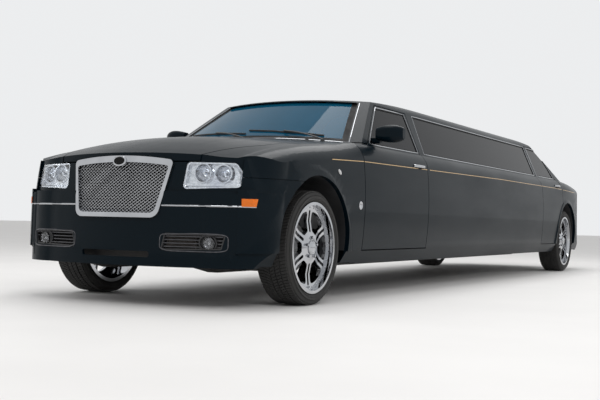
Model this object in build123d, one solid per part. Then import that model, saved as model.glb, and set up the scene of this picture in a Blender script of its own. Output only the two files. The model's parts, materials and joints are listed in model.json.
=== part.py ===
from build123d import *
import math
import os

# A black four-door stretch limousine with a lengthened cabin, an upright mesh grille and 22 inch wheels.
# Millimetres, +Z up, nose towards -Y, left side at +X, origin on the ground under the middle of the length.

os.makedirs("parts", exist_ok=True)

# Lengths along the car
sedan_wheelbase = 3048.0
stretch = 3556.0
front_overhang = 861.0
rear_overhang = 1090.0
wheelbase = sedan_wheelbase + stretch
length = front_overhang + wheelbase + rear_overhang
nose_y = -length / 2
tail_y = length / 2
front_axle_y = nose_y + front_overhang
rear_axle_y = front_axle_y + wheelbase

# Widths and heights of the body
half_width = 940.0
sill_bottom = 245.0
sill_crease = 335.0
widest_height = 640.0
crease_height = 968.0
shoulder_height = 1085.0
scuttle_height = 1126.0
belt = 1100.0
rail_height = 1443.0
roof_height = 1525.0
ledge_height = 690.0
ledge_depth = 32.0

# Walls, gaps and glass
skin = 18.0
pillar_wall = 42.0
door_inner_x = 775.0
shut_gap = 7.0
seat_gap = 0.3
glass_depth = 6.0
glass_thickness = 5.0
lower_draft = 0.10
arch_draft = 0.18
frame_draft_deg = 17.0
lid_seam = 7.0
panel_seam = 3.0

# Wheels and axles
track = 1600.0
tyre_radius = 364.0
tyre_width = 245.0
rim_radius = 290.0
rim_width = 226.0
barrel_radius = 266.0
arch_radius = 458.0
arch_lip = 30.0
hub_radius = 78.0
stub_radius = 32.0
running_gap = 0.08
spoke_pairs = 6
flare_depth = 13.0
flare_slope = 2.3
kingpin_inset = 95.0
kingpin_radius = 14.0
ball_joint_rise = 150.0

# Shut lines along the cabin
door_front_s = 700.0
door_length = 1225.0
door_kick = 60.0
rear_door_length = 919.0
cabin_end_lead = 154.0

y_front_door = front_axle_y + door_front_s
y_door_end = y_front_door + door_length
y_rear_door = y_door_end + stretch
y_rear_door_end = y_rear_door + rear_door_length
y_cabin_end = rear_axle_y - cabin_end_lead
everywhere = (y_front_door - 2500.0, y_cabin_end + 2500.0)

# Greenhouse
tumblehome = 0.50
glass_line_x = 828.0
normal_share = math.hypot(1.0, tumblehome)
windshield_rake = (690.0, 380.0)
windshield_base_s = 570.0
windshield_bow = 1100.0
hood_rear_s = 430.0
hood_bow = 1745.0
backlight_rake = (750.0, 350.0)
backlight_base_s = 296.0
backlight_bow = 1150.0

# Inside
floor_top = 325.0
floor_sheet = 25.0


def slab(x, y, z):
    """Box between (low, high) pairs."""
    size = [high - low for low, high in (x, y, z)]
    middle = [(low + high) / 2 for low, high in (x, y, z)]
    return Pos(*middle) * Box(*size)


def flipped(shape):
    """The same piece on the other side of the car."""
    return mirror(shape, about=Plane.YZ)


def side_face(points, x=0.0):
    """Face from (y, z) corners at one x."""
    return Face(Wire.make_polygon([Vector(x, y, z) for y, z in points], close=True))


def side_prism(points, x_low, x_high):
    """Straight prism across the car from (y, z) corners."""
    return extrude(side_face(points, x_low), amount=x_high - x_low, dir=(1, 0, 0))


def plan_prism(points, z_low, z_high):
    """Upright prism from (x, y) corners."""
    face = Face(Wire.make_polygon([Vector(x, y, z_low) for x, y in points], close=True))
    return extrude(face, amount=z_high - z_low, dir=(0, 0, 1))


def front_prism(points, y_low, y_high):
    """Prism along the car from (x, z) corners."""
    face = Face(Wire.make_polygon([Vector(x, y_low, z) for x, z in points], close=True))
    return extrude(face, amount=y_high - y_low, dir=(0, 1, 0))


def axle_rod(radius, x_low, x_high, y, z):
    """Round bar across the car."""
    return Pos((x_low + x_high) / 2, y, z) * Rot(0, 90, 0) * Cylinder(radius, x_high - x_low)


def post(radius, x, y, z_low, z_high):
    """Round upright bar."""
    return Pos(x, y, (z_low + z_high) / 2) * Cylinder(radius, z_high - z_low)


# Lower body

# Columns: place behind the axle, half width, crease inset, crease height, top inset, top height, crown height
front_sections = [
    (-900.0, 902.0, 24.0, 770.0, 190.0, 800.0, 872.0),
    (-450.0, 925.0, 20.0, 868.0, 165.0, 950.0, 1028.0),
    (100.0, 938.0, 18.0, 925.0, 140.0, 1035.0, 1092.0),
    (door_front_s, half_width, 16.0, crease_height, 94.0, shoulder_height, scuttle_height),
]
rear_sections = [
    (-cabin_end_lead, half_width, 16.0, crease_height, 94.0, shoulder_height, scuttle_height),
    (150.0, 938.0, 18.0, 985.0, 120.0, 1086.0, 1120.0),
    (600.0, 925.0, 24.0, 960.0, 150.0, 1072.0, 1112.0),
    (1150.0, 895.0, 36.0, 920.0, 180.0, 1040.0, 1085.0),
]

# Columns: half width of the bowed face, its set-back, half width at the corner's end, the corner's depth
front_plan = (560.0, 78.0, 905.0, 460.0)
rear_plan = (600.0, 60.0, 900.0, 430.0)

# Columns: how far the face is set back, the height of that place, lean, the corner's bulge across and along
bumper_face = (0.0, sill_bottom, 1.0, 0.84, 0.40)
upper_face = (ledge_depth, ledge_height, 10.0, 0.82, 0.40)
grille_face = (2.0, 540.0, 9.2, 0.82, 0.40)
tail_face = (0.0, sill_bottom, 3.0, 0.80, 0.42)


def body_section(y, half, crease_in, crease_z, top_in, top_z, crown_z, inset=0.0, drop=0.0):
    """Closed cross-section of the lower body: crown, shoulders, barrel sides and tucked sills."""
    top_x, side_x = half - top_in - inset, half - crease_in - inset
    top, crease = top_z - inset, crease_z - 0.35 * inset
    widest, tuck = half - inset, half - 22.0 - inset
    bottom_x, bottom = half - 72.0 - inset, sill_bottom - drop
    bulge = 0.12 * (side_x - top_x)
    mid_x, mid_z = (top_x + side_x) / 2 + bulge, (top + crease) / 2 + bulge
    edges = [
        ThreePointArc((-top_x, y, top), (0, y, crown_z - inset), (top_x, y, top)),
        ThreePointArc((top_x, y, top), (mid_x, y, mid_z), (side_x, y, crease)),
        ThreePointArc((side_x, y, crease), (widest, y, widest_height), (tuck, y, sill_crease)),
        Line((tuck, y, sill_crease), (bottom_x, y, bottom)),
        Line((bottom_x, y, bottom), (-bottom_x, y, bottom)),
        Line((-bottom_x, y, bottom), (-tuck, y, sill_crease)),
        ThreePointArc((-tuck, y, sill_crease), (-widest, y, widest_height), (-side_x, y, crease)),
        ThreePointArc((-side_x, y, crease), (-mid_x, y, mid_z), (-top_x, y, top)),
    ]
    return Face(Wire(edges))


def lofted(rows, axle_y, inset=0.0, drop=0.0, lengthen=(0.0, 0.0)):
    """The body lofted through a table of sections, its ends moved outwards by lengthen."""
    shifts = [-lengthen[0]] + [0.0] * (len(rows) - 2) + [lengthen[1]]
    faces = [
        body_section(axle_y + row[0] + shift, *row[1:], inset=inset, drop=drop)
        for row, shift in zip(rows, shifts)
    ]
    return loft(faces)


def plan_block(end_y, inward, plan, face, inset, back_y, low=80.0, high=1320.0):
    """Block with a bowed, leaning face and rounded corners, that trims the nose or the tail."""
    flat_x, bow, corner_x, corner_s = plan
    set_back, face_z, lean, share_x, share_y = face
    slope = math.tan(math.radians(lean))
    start = end_y + inward * (set_back + inset - (face_z - low) * slope)
    flat = (flat_x, start + inward * bow, low)
    end = (corner_x - inset, start + inward * corner_s, low)
    wide = corner_x + 80.0 - inset
    widest = (wide, start + inward * (corner_s + 420.0), low)
    corner = (flat[0] + share_x * (end[0] - flat[0]), flat[1] + share_y * (end[1] - flat[1]), low)

    def other(point):
        return (-point[0], point[1], point[2])

    edges = [
        ThreePointArc(other(flat), (0, start, low), flat),
        ThreePointArc(flat, corner, end),
        Line(end, widest),
        Line(widest, (wide, back_y, low)),
        Line((wide, back_y, low), (-wide, back_y, low)),
        Line((-wide, back_y, low), other(widest)),
        Line(other(widest), other(end)),
        ThreePointArc(other(end), other(corner), other(flat)),
    ]
    rise = high - low
    shift = inward * rise * slope
    return extrude(Face(Wire(edges)), amount=math.hypot(rise, shift), dir=(0, shift, rise))


def nose_part(face, inset):
    return plan_block(nose_y, 1, front_plan, face, inset, y_front_door + 200.0)


def nose_block(inset):
    """Upright bumper below a ledge, and the leaning upper nose set back above it."""
    room = ((-1100.0, 1100.0), (nose_y - 200.0, y_front_door + 300.0))
    ledge = ledge_height - inset
    return (nose_part(bumper_face, inset) & slab(*room, (0.0, ledge))) + (
        nose_part(upper_face, inset) & slab(*room, (ledge, 1400.0))
    )


def tail_block(inset):
    return plan_block(tail_y, -1, rear_plan, tail_face, inset, y_cabin_end - 200.0)


front_hull = lofted(front_sections, front_axle_y) & nose_block(0.0)
front_hollow = lofted(front_sections, front_axle_y, skin, 60.0, (60.0, 10.0)) & nose_block(skin)
front_shell = front_hull - front_hollow
rear_hull = lofted(rear_sections, rear_axle_y) & tail_block(0.0)
rear_hollow = lofted(rear_sections, rear_axle_y, skin, 60.0, (10.0, 60.0)) & tail_block(skin)
rear_shell = rear_hull - rear_hollow
cabin_hull = extrude(
    body_section(y_front_door, *front_sections[-1][1:]), amount=y_cabin_end - y_front_door, dir=(0, 1, 0)
)


# Greenhouse

# Bow of the roof and the places where it starts to fall to its ends
crown_half, crown_drop = 575.0, 20.0
cant_x, cant_drop = 570.0, 17.0
front_fall_s, front_fall_radius = 2700.0, 21700.0
rear_fall_lead, rear_fall_radius = 1250.0, 6200.0


def roof_section(inset):
    """Front view of the greenhouse under its crown: leaning sides and rounded cant rails."""
    y = front_axle_y
    base_z = belt - 60.0
    rail_z = rail_height + 2.0 - 0.9 * inset
    base_x = glass_line_x + tumblehome * 60.0 - normal_share * inset
    rail_x = glass_line_x - tumblehome * (rail_z - belt) - normal_share * inset
    edge_x, edge_z = cant_x - 0.75 * inset, roof_height - cant_drop - inset
    mid_x, mid_z = (rail_x + edge_x) / 2 + 7.4, (rail_z + edge_z) / 2 + 10.1
    peak_x, peak_z = edge_x - 150.0, edge_z + 45.0
    edges = [
        Line((-base_x, y, base_z), (base_x, y, base_z)),
        Line((base_x, y, base_z), (rail_x, y, rail_z)),
        ThreePointArc((rail_x, y, rail_z), (mid_x, y, mid_z), (edge_x, y, edge_z)),
        Line((edge_x, y, edge_z), (peak_x, y, peak_z)),
        Line((peak_x, y, peak_z), (-peak_x, y, peak_z)),
        Line((-peak_x, y, peak_z), (-edge_x, y, edge_z)),
        ThreePointArc((-edge_x, y, edge_z), (-mid_x, y, mid_z), (-rail_x, y, rail_z)),
        Line((-rail_x, y, rail_z), (-base_x, y, base_z)),
    ]
    return extrude(Face(Wire(edges)), amount=wheelbase + rear_overhang, dir=(0, 1, 0))


def roof_crown(inset):
    """Everything under the bowed roof: straight along its middle, turned about far axes at its ends."""
    half, base = 1000.0, belt - 120.0
    top = roof_height - inset
    edge = top - crown_drop * (half / crown_half) ** 2
    front_y, rear_y = front_axle_y + front_fall_s, rear_axle_y - rear_fall_lead

    def section(y):
        arc = ThreePointArc((-half, y, edge), (0, y, top), (half, y, edge))
        sides = Polyline((half, y, edge), (half, y, base), (-half, y, base), (-half, y, edge))
        return Face(Wire([arc] + sides.edges()))

    front_axis = Axis((0, front_y, roof_height - front_fall_radius), (1, 0, 0))
    rear_axis = Axis((0, rear_y, roof_height - rear_fall_radius), (-1, 0, 0))
    middle = extrude(section(front_y), amount=rear_y - front_y, dir=(0, 1, 0))
    return middle + revolve(section(front_y), front_axis, 7.0) + revolve(section(rear_y), rear_axis, 20.0)


def raked_block(base_y, toward_back, rake, bow_radius, inset, far_y):
    """Everything behind a bowed pane that leans along its rake."""
    run, rise = rake
    low, reach = belt - 100.0, 950.0
    slope = math.hypot(run, rise)
    start = base_y - toward_back * run / rise * (belt - low) + toward_back * inset * slope / rise
    bowed = start + toward_back * reach**2 / (2 * bow_radius)
    edges = [
        ThreePointArc((-reach, bowed, low), (0, start, low), (reach, bowed, low)),
        Line((reach, bowed, low), (reach, far_y, low)),
        Line((reach, far_y, low), (-reach, far_y, low)),
        Line((-reach, far_y, low), (-reach, bowed, low)),
    ]
    tall = 640.0
    return extrude(Face(Wire(edges)), amount=tall / rise * slope, dir=(0, toward_back * run, rise))


def greenhouse(inset):
    """Solid cabin top, its surface moved inwards by inset."""
    front = raked_block(
        front_axle_y + windshield_base_s, 1, windshield_rake, windshield_bow, inset, rear_axle_y + 900.0
    )
    back = raked_block(
        rear_axle_y + backlight_base_s, -1, backlight_rake, backlight_bow, inset, front_axle_y - 900.0
    )
    return roof_section(inset) & roof_crown(inset) & front & back


cabin_top = greenhouse(0.0)
cabin_space = greenhouse(pillar_wall)
cabin_shell = cabin_top - cabin_space
glass_layer = greenhouse(glass_depth) - greenhouse(glass_depth + glass_thickness)

glass_plane = Plane(
    origin=(glass_line_x, 0, belt),
    x_dir=(0, 1, 0),
    z_dir=(1 / normal_share, 0, tumblehome / normal_share),
)


def on_glass(points, grow=0.0):
    """Face on the left side glass from (y, height) corners, grown outwards by grow."""
    flat = [(y, (z - belt) * normal_share) for y, z in points]
    face = make_face(Polyline(*flat, close=True))
    if grow:
        face = offset(face, amount=grow, kind=Kind.INTERSECTION)
    return glass_plane * face


def frame_prism(points, grow=0.0):
    """Tapered prism through the side glass, narrower inside so that a door's frame can swing out."""
    face = on_glass(points, grow)
    inner = extrude(face, amount=-80.0 - 3.0 * grow, taper=frame_draft_deg)
    return inner + extrude(face, amount=60.0)


def window_prism(points, grow=0.0):
    """Straight prism through the side glass."""
    face = on_glass(points, grow)
    return extrude(face, amount=90.0, both=True)


def door_prism(y_front, y_rear, kick, grow):
    """Lower part of a door's shut line: upright front edge, rear edge that draws in towards the cabin."""
    reach = 1000.0
    shifts = ((reach, (reach - glass_line_x) * lower_draft), (600.0, (600.0 - glass_line_x) * lower_draft))
    low, high = sill_crease - grow, belt + 3.0 + grow
    faces = []
    for x, shift in shifts:
        rear = y_rear + grow + shift
        points = [
            (y_front - grow, low),
            (rear, low),
            (rear, belt - 140.0),
            (rear + kick * (high - belt + 140.0) / 143.0, high),
            (y_front - grow, high),
        ]
        faces.append(side_face(points, x))
    outside = slab((door_inner_x - shut_gap - grow, reach), everywhere, (0.0, high + 10.0))
    return loft(faces, ruled=True) & outside


# Door frames and windows as (y, height) corners on the side glass
a_line = ((front_axle_y + 935.0, belt - 15.0), (front_axle_y + 1440.0, rail_height))
front_frame = [
    a_line[0],
    (y_door_end + door_kick, belt - 15.0),
    (y_door_end + door_kick + 90.0, rail_height),
    a_line[1],
]
front_window = [
    (front_axle_y + 1012.0, belt + 8.0),
    (y_door_end + 30.0, belt + 8.0),
    (y_door_end + 92.0, belt + 322.0),
    (front_axle_y + 1450.0, belt + 316.0),
]
stretch_window = [
    (y_door_end + 175.0, belt + 8.0),
    (y_rear_door + 12.0, belt + 8.0),
    (y_rear_door + 98.0, belt + 326.0),
    (y_door_end + 285.0, belt + 326.0),
]
rear_frame = [
    (y_rear_door + door_kick, belt - 15.0),
    (y_rear_door_end, belt - 15.0),
    (y_rear_door_end - 20.0, belt + 90.0),
    (rear_axle_y - 300.0, belt + 255.0),
    (rear_axle_y - 470.0, rail_height),
    (y_rear_door + door_kick + 90.0, rail_height),
]
rear_window = [
    (y_rear_door + door_kick + 62.0, belt + 8.0),
    (rear_axle_y - 262.0, belt + 8.0),
    (rear_axle_y - 300.0, belt + 120.0),
    (rear_axle_y - 385.0, belt + 240.0),
    (rear_axle_y - 520.0, belt + 318.0),
    (y_rear_door + door_kick + 148.0, belt + 322.0),
]


# Cut lines

# Columns: half width and height of the lower corners, height at the middle, then the same of the upper edge
windshield_pane = (745.0, belt - 2.0, belt + 27.0, 575.0, rail_height + 3.0, rail_height + 19.0)
backlight_pane = (650.0, belt + 28.0, belt + 30.0, 545.0, rail_height - 20.0, rail_height - 14.0)

# Hood outline: half width and place behind the front axle, then its bowed rear edge
hood_outline = [
    (150.0, -790.0),
    (300.0, -774.0),
    (400.0, -756.0),
    (520.0, -730.0),
    (700.0, -300.0),
    (745.0, 100.0),
    (757.0, 640.0),
]
hood_low = 872.0
roof_half = 560.0
lid_half = 625.0
lid_front_s = 345.0
lid_bottom = 705.0
fender_seam = 775.0
scuttle_reach_s = 920.0
headlight_points = [(436.0, 704.0), (770.0, 716.0), (778.0, 800.0), (740.0, 860.0), (448.0, 865.0)]
headlight_corner = 24.0
fog_points = [(322.0, 342.0), (700.0, 352.0), (722.0, 440.0), (344.0, 446.0)]
fog_corner = 12.0
taillight_points = [(636.0, 742.0), (900.0, 742.0), (900.0, 945.0), (636.0, 955.0)]
taillight_corner = 20.0

# Grille outline: half width, height and radius of the lower and upper corners, then the height at the middle
grille_outer = (305.0, 532.0, 58.0, 372.0, 876.0, 26.0, 903.0)
grille_inner = (282.0, 560.0, 42.0, 345.0, 842.0, 16.0, 864.0)


def across(face, y_low, y_high):
    """Prism along the car from a front-view face drawn in its own plane."""
    prism = extrude(face, amount=y_high - y_low, dir=(0, 0, -1))
    return Plane(origin=(0, y_low, 0), x_dir=(1, 0, 0), z_dir=(0, -1, 0)) * prism


def pane_face(pane, grow=0.0):
    """Front view of a bowed pane, grown outwards by grow."""
    low_x, low_z, low_mid, high_x, high_z, high_mid = pane
    low_x, high_x = low_x + grow, high_x + grow
    low_z, low_mid, high_z, high_mid = low_z - grow, low_mid - grow, high_z + grow, high_mid + grow
    edges = [
        ThreePointArc((-low_x, low_z), (0, low_mid), (low_x, low_z)),
        Line((low_x, low_z), (high_x, high_z)),
        ThreePointArc((high_x, high_z), (0, high_mid), (-high_x, high_z)),
        Line((-high_x, high_z), (-low_x, low_z)),
    ]
    return Face(Wire(edges))


def rounded_face(points, radius, grow=0.0):
    """Front view from corners, grown outwards by grow and rounded."""
    face = make_face(Polyline(*points, close=True))
    if grow:
        face = offset(face, amount=grow, kind=Kind.INTERSECTION)
    return fillet(face.vertices(), radius + min(grow, 0.0))


def grille_face_outline(outline, grow=0.0):
    """Front view of the grille: straight sides that spread upwards, a crowned top and round lower corners."""
    low_x, low_z, low_r, high_x, high_z, high_r, crown = outline
    low_x, high_x = low_x + grow, high_x + grow
    low_z, high_z, crown = low_z - grow, high_z + grow, crown + grow
    edges = [
        Line((-low_x, low_z), (low_x, low_z)),
        Line((low_x, low_z), (high_x, high_z)),
        ThreePointArc((high_x, high_z), (0, crown), (-high_x, high_z)),
        Line((-high_x, high_z), (-low_x, low_z)),
    ]
    face = Face(Wire(edges))
    corners = face.vertices().sort_by(Axis.Y)
    face = fillet(corners[:2], low_r)
    return fillet(face.vertices().sort_by(Axis.Y)[-2:], high_r)


def hood_prism(grow):
    """Upright prism inside the hood's outline, with its bowed rear edge cut by a large cylinder."""
    right = [(x, front_axle_y + place) for x, place in hood_outline]
    left = [(-x, y) for x, y in reversed(right)]
    face = make_face(Polyline(*[(x, y, 0) for x, y in left + right], close=True))
    if grow:
        face = offset(face, amount=grow, kind=Kind.INTERSECTION)
    behind = Pos(0, front_axle_y + hood_rear_s + hood_bow, 1000.0) * Cylinder(hood_bow - grow, 600.0)
    return Pos(0, 0, hood_low - grow) * extrude(face, amount=480.0) - behind


def lid_prism(grow):
    """Block inside the trunk lid's outline."""
    return slab(
        (-lid_half - grow, lid_half + grow),
        (rear_axle_y + lid_front_s - grow, tail_y + 200.0),
        (lid_bottom - grow, 1300.0),
    )


def arch_cut(axle_y, radius, x_low=560.0, x_high=1040.0):
    return axle_rod(radius, x_low, x_high, axle_y, tyre_radius)


def arch_cone(axle_y, radius):
    """Cone that separates a door from the lip round the arch; it widens inwards from the outer skin."""
    cone = Cone(radius + arch_draft * 340.0, radius - arch_draft * 60.0, 400.0)
    return Pos(800.0, axle_y, tyre_radius) * Rot(0, 90, 0) * cone


def flare(grown, hull, axle_y, top_z):
    """Raised band round an arch: the body's surface moved outwards and faded out by a cone below top_z."""
    low_x, high_x = 780.0, half_width + 10.0
    tip = arch_radius + 8.0
    cone = Cone(tip + flare_slope * (high_x - low_x), tip, high_x - low_x)
    band = Pos((low_x + high_x) / 2, axle_y, tyre_radius) * Rot(0, 90, 0) * cone
    above = slab((600.0, 1000.0), (axle_y - 900.0, axle_y + 900.0), (sill_crease, top_z))
    return ((grown & band & above) - hull) - arch_cut(axle_y, arch_radius)


def both_sides(shape):
    return shape + flipped(shape)


# Raised bands round the arches, on the shells and on the cabin side
front_grown = lofted(front_sections, front_axle_y, -flare_depth) & nose_block(-flare_depth)
front_flare = flare(front_grown, front_hull, front_axle_y, 890.0)
cabin_grown = extrude(
    body_section(y_front_door, *front_sections[-1][1:], inset=-flare_depth),
    amount=y_cabin_end - y_front_door,
    dir=(0, 1, 0),
)
rear_grown = lofted(rear_sections, rear_axle_y, -flare_depth) & tail_block(-flare_depth)
rear_flare = flare(rear_grown, rear_hull, rear_axle_y, 950.0)
cabin_flare = flare(cabin_grown, cabin_hull, rear_axle_y, 950.0)
front_shell += both_sides(front_flare)
rear_shell += both_sides(rear_flare)

# Cabin side with doors, left side first
side_zone = slab((roof_half, 1000.0), everywhere, (1030.0, 1600.0))
side_zone += slab((500.0, 1000.0), everywhere, (1030.0, 1380.0))
windshield_opening = across(pane_face(windshield_pane), front_axle_y + 250.0, front_axle_y + 1480.0)
backlight_opening = across(pane_face(backlight_pane), rear_axle_y - 900.0, rear_axle_y + 700.0)
framed_top = cabin_shell - windshield_opening - backlight_opening
roof = (framed_top - side_zone - flipped(side_zone)) & slab((-700.0, 700.0), everywhere, (1200.0, 1600.0))
side_top = framed_top & side_zone
cabin_length = (y_front_door, y_cabin_end)
lower_side = cabin_hull & slab((door_inner_x, 1000.0), cabin_length, (sill_bottom - 10.0, belt + 40.0))
lower_side += cabin_flare
foot_length = (rear_axle_y - 520.0, y_cabin_end + 10.0)
rear_foot = slab((door_inner_x - 5.0, 1000.0), foot_length, (sill_crease, 1040.0))
rear_post_y = rear_axle_y - 500.0


def front_door_opening(grow):
    return door_prism(y_front_door, y_door_end, door_kick, grow) + frame_prism(front_frame, grow)


def rear_door_opening(grow):
    block = door_prism(y_rear_door, y_rear_door_end, door_kick / 2, grow) + frame_prism(rear_frame, grow)
    return block - arch_cone(rear_axle_y, arch_radius + arch_lip - grow)


def side_glass(points):
    """Pane seated in its window on the left side."""
    return glass_layer & window_prism(points, -seat_gap) & slab((500.0, 900.0), everywhere, (0, 1600.0))


cabin_wall = lower_side + (side_top & slab((430.0, 1000.0), (y_front_door, y_cabin_end), (1030.0, 1600.0)))
front_door = (cabin_wall & front_door_opening(-shut_gap)) - window_prism(front_window)
rear_door = (cabin_wall & rear_door_opening(-shut_gap)) - window_prism(rear_window)
front_glass, rear_glass = side_glass(front_window), side_glass(rear_window)
stretch_glass = side_glass(stretch_window)

wall = (lower_side - rear_foot) + (
    side_top & slab((430.0, 1000.0), (front_axle_y, rear_post_y - seat_gap), (1030.0, 1600.0))
)
wall = wall - front_door_opening(0.0) - rear_door_opening(0.0) - window_prism(stretch_window)
scuttle_length = (front_axle_y, front_axle_y + scuttle_reach_s)
side = wall - front_hull - slab((0.0, 740.0), scuttle_length, (1000.0, belt + 14.0))
side = (side - arch_cut(rear_axle_y, arch_radius)).solids().sort_by(SortBy.VOLUME)[-1]

# Front panels
seat_inset = skin + seat_gap
front_seat_space = lofted(front_sections, front_axle_y, seat_inset, 60.0, (60.0, 10.0))
front_seat_space &= nose_block(seat_inset)
rear_seat_space = lofted(rear_sections, rear_axle_y, seat_inset, 60.0, (10.0, 60.0)) & tail_block(seat_inset)
hinge_pillar = slab((740.0, 960.0), (y_front_door - 90.0, y_front_door), (sill_bottom + 5.0, 1060.0))
hinge_pillar &= front_seat_space
foot_y = (y_front_door - 1.0, front_axle_y + 870.0)
pillar_foot = slab((740.0, door_inner_x - shut_gap), foot_y, (960.0, 1060.0))
hinge_leaves = Part()
for y in (y_front_door, y_rear_door):
    for z in (430.0, 860.0):
        hinge_leaves += slab((860.0, 905.0), (y - 1.0, y + shut_gap - seat_gap), (z, z + 70.0))
side = side + hinge_pillar + pillar_foot + hinge_leaves
bumper_zone = slab((-1000.0, 1000.0), (nose_y - 100.0, front_axle_y), (200.0, fender_seam)) + slab(
    (-442.0, 442.0), (nose_y - 100.0, front_axle_y - 560.0), (200.0, 1200.0)
)
cowl_right = [
    (690.0, front_axle_y + 200.0),
    (690.0, front_axle_y + 572.0),
    (763.0, front_axle_y + 604.0),
    (763.0, y_front_door),
]
cowl_zone = plan_prism(cowl_right + [(-x, y) for x, y in reversed(cowl_right)], 940.0, 1200.0)
lamp_room = (nose_y - 100.0, front_axle_y - 520.0)
front_arches = both_sides(arch_cut(front_axle_y, arch_radius))
hood = front_shell & hood_prism(0.0)
front_rest = (
    front_shell
    - hood_prism(lid_seam)
    - front_arches
    - both_sides(across(rounded_face(headlight_points, headlight_corner), *lamp_room))
)

# Slot under the grille
slot_half, slot_low, slot_high = 250.0, 297.0, 333.0
centre_slot = slab((-slot_half, slot_half), (nose_y - 100.0, nose_y + 300.0), (slot_low, slot_high))
centre_slot = fillet(centre_slot.edges().filter_by(Axis.Y), 14.0)
front_bumper = (
    (front_rest & bumper_zone)
    - across(grille_face_outline(grille_outer, seat_gap), nose_y - 100.0, front_axle_y - 600.0)
    - both_sides(across(rounded_face(fog_points, fog_corner), nose_y - 100.0, front_axle_y - 500.0))
    - centre_slot
)

# Cowl: the panel behind the hood, the skin beside the windshield's foot and the lip under the glass
crown_skin = cabin_hull - extrude(
    body_section(y_front_door, *front_sections[-1][1:], inset=skin, drop=60.0),
    amount=scuttle_reach_s,
    dir=(0, 1, 0),
)
foot_half, corner_half = 739.0, door_inner_x - shut_gap
foot_skin = (crown_skin & slab((-foot_half, foot_half), scuttle_length, (1040.0, 1200.0))) - cabin_space
corner_skin = (crown_skin & slab((-corner_half, corner_half), scuttle_length, (1040.0, 1200.0))) - cabin_top
lip_zone = slab((-foot_half, foot_half), scuttle_length, (1060.0, belt + 13.0)) + slab(
    (-500.0, 500.0), scuttle_length, (1060.0, belt + 40.0)
)
lip = (framed_top & lip_zone) - front_hull - cabin_hull - hood_prism(lid_seam)
cowl = (front_rest & cowl_zone) + foot_skin + corner_skin + lip
fender_zone = slab((0.0, 1000.0), (nose_y - 100.0, y_front_door), (200.0, 1200.0)) - cowl_zone
seamed = slab((-1000.0, 1000.0), (nose_y - 200.0, front_axle_y), (200.0, fender_seam + panel_seam)) + slab(
    (-445.0, 445.0), (nose_y - 200.0, front_axle_y - 500.0), (200.0, 1200.0)
)
fender = ((front_rest & fender_zone) - seamed).solids().sort_by(SortBy.VOLUME)[-1]

firewall_y, firewall_thickness = front_axle_y + 472.0, 12.0
firewall_low, firewall_high, firewall_side = floor_top - floor_sheet, 1140.0, 1034.0
firewall = front_prism(
    [
        (-700.0, firewall_low),
        (700.0, firewall_low),
        (700.0, firewall_side),
        (350.0, firewall_side),
        (350.0, firewall_high),
        (-350.0, firewall_high),
        (-350.0, firewall_side),
        (-700.0, firewall_side),
    ],
    firewall_y,
    firewall_y + firewall_thickness,
)
firewall &= lofted(front_sections, front_axle_y, 6.0, 60.0)
hood_hinge_s = 600.0
bracket_low = 960.0
bracket_x = (640.0, 690.0)
hood_bracket = slab(bracket_x, (firewall_y + 6.0, front_axle_y + 520.0), (bracket_low, 1030.0))
hood_bracket += slab(bracket_x, (front_axle_y + 510.0, front_axle_y + hood_hinge_s), (bracket_low, 1040.0))
hood_leaf = slab(bracket_x, (front_axle_y + 510.0, front_axle_y + 540.0), (1020.0, 1110.0))
hood_bracket += hood_leaf & front_seat_space
cowl = (cowl + firewall + both_sides(hood_bracket)).solids().sort_by(SortBy.VOLUME)[-1]


def nose_layer(outer, inner):
    return nose_block(outer) - nose_block(inner)


def grille_layer(outer, inner):
    return nose_part(grille_face, outer) - nose_part(grille_face, inner)


grille_room = (nose_y - 150.0, front_axle_y - 600.0)
grille_ring = across(
    grille_face_outline(grille_outer) - grille_face_outline(grille_inner), *grille_room
)
grille_frame = (grille_layer(-14.0, 34.0) & grille_ring) - hood_prism(lid_seam)

# Lattice of crossed wires: a plate with diamond holes, bent to the grille's own bow
diamond_pitch_x, diamond_pitch_z, wire_width = 54.0, 40.0, 7.0


def diamond_holes():
    """Diamonds between the wires, in two interleaved grids over the grille's opening."""
    half_x, half_z = diamond_pitch_x / 2, diamond_pitch_z / 2
    share = 1.0 - wire_width * math.hypot(1 / diamond_pitch_x, 1 / diamond_pitch_z)
    shape = Polyline((-half_x, 0), (0, -half_z), (half_x, 0), (0, half_z), close=True)
    diamond = make_face(scale(shape, share))
    rows = int((grille_inner[6] - grille_inner[1]) / half_z) + 2
    columns = int(grille_inner[3] / diamond_pitch_x) + 2
    holes = []
    for row in range(rows):
        shift = half_x * (row % 2)
        for column in range(-columns, columns + 1):
            holes.append(Pos(column * diamond_pitch_x + shift, grille_inner[1] + row * half_z) * diamond)
    return holes


mesh_border = 8.0
lattice = grille_face_outline(grille_inner, -seat_gap)
holes = [hole & grille_face_outline(grille_inner, -mesh_border) for hole in diamond_holes()]
lattice -= [hole for hole in holes if hole and hole.area > 60.0]
grille_mesh = grille_layer(10.0, 18.0) & across(lattice, *grille_room)

# Headlight: a thin clear lens over a housing with two round reflectors and a light bar
lamp_prism = across(rounded_face(headlight_points, headlight_corner, -seat_gap), *lamp_room)
lens_thickness, lamp_back_s, tray_depth = 5.0, -560.0, 34.0
headlight = (front_hull - nose_block(lens_thickness)) & lamp_prism
housing = nose_block(lens_thickness + seat_gap) & front_hull & lamp_prism
housing &= slab((0.0, 1000.0), (nose_y - 100.0, front_axle_y + lamp_back_s), (600.0, 1000.0))
tray = across(rounded_face(headlight_points, headlight_corner, -9.0), *lamp_room)
tray_floor = nose_block(tray_depth)
bowl_block = housing - (tray - tray_floor)

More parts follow.
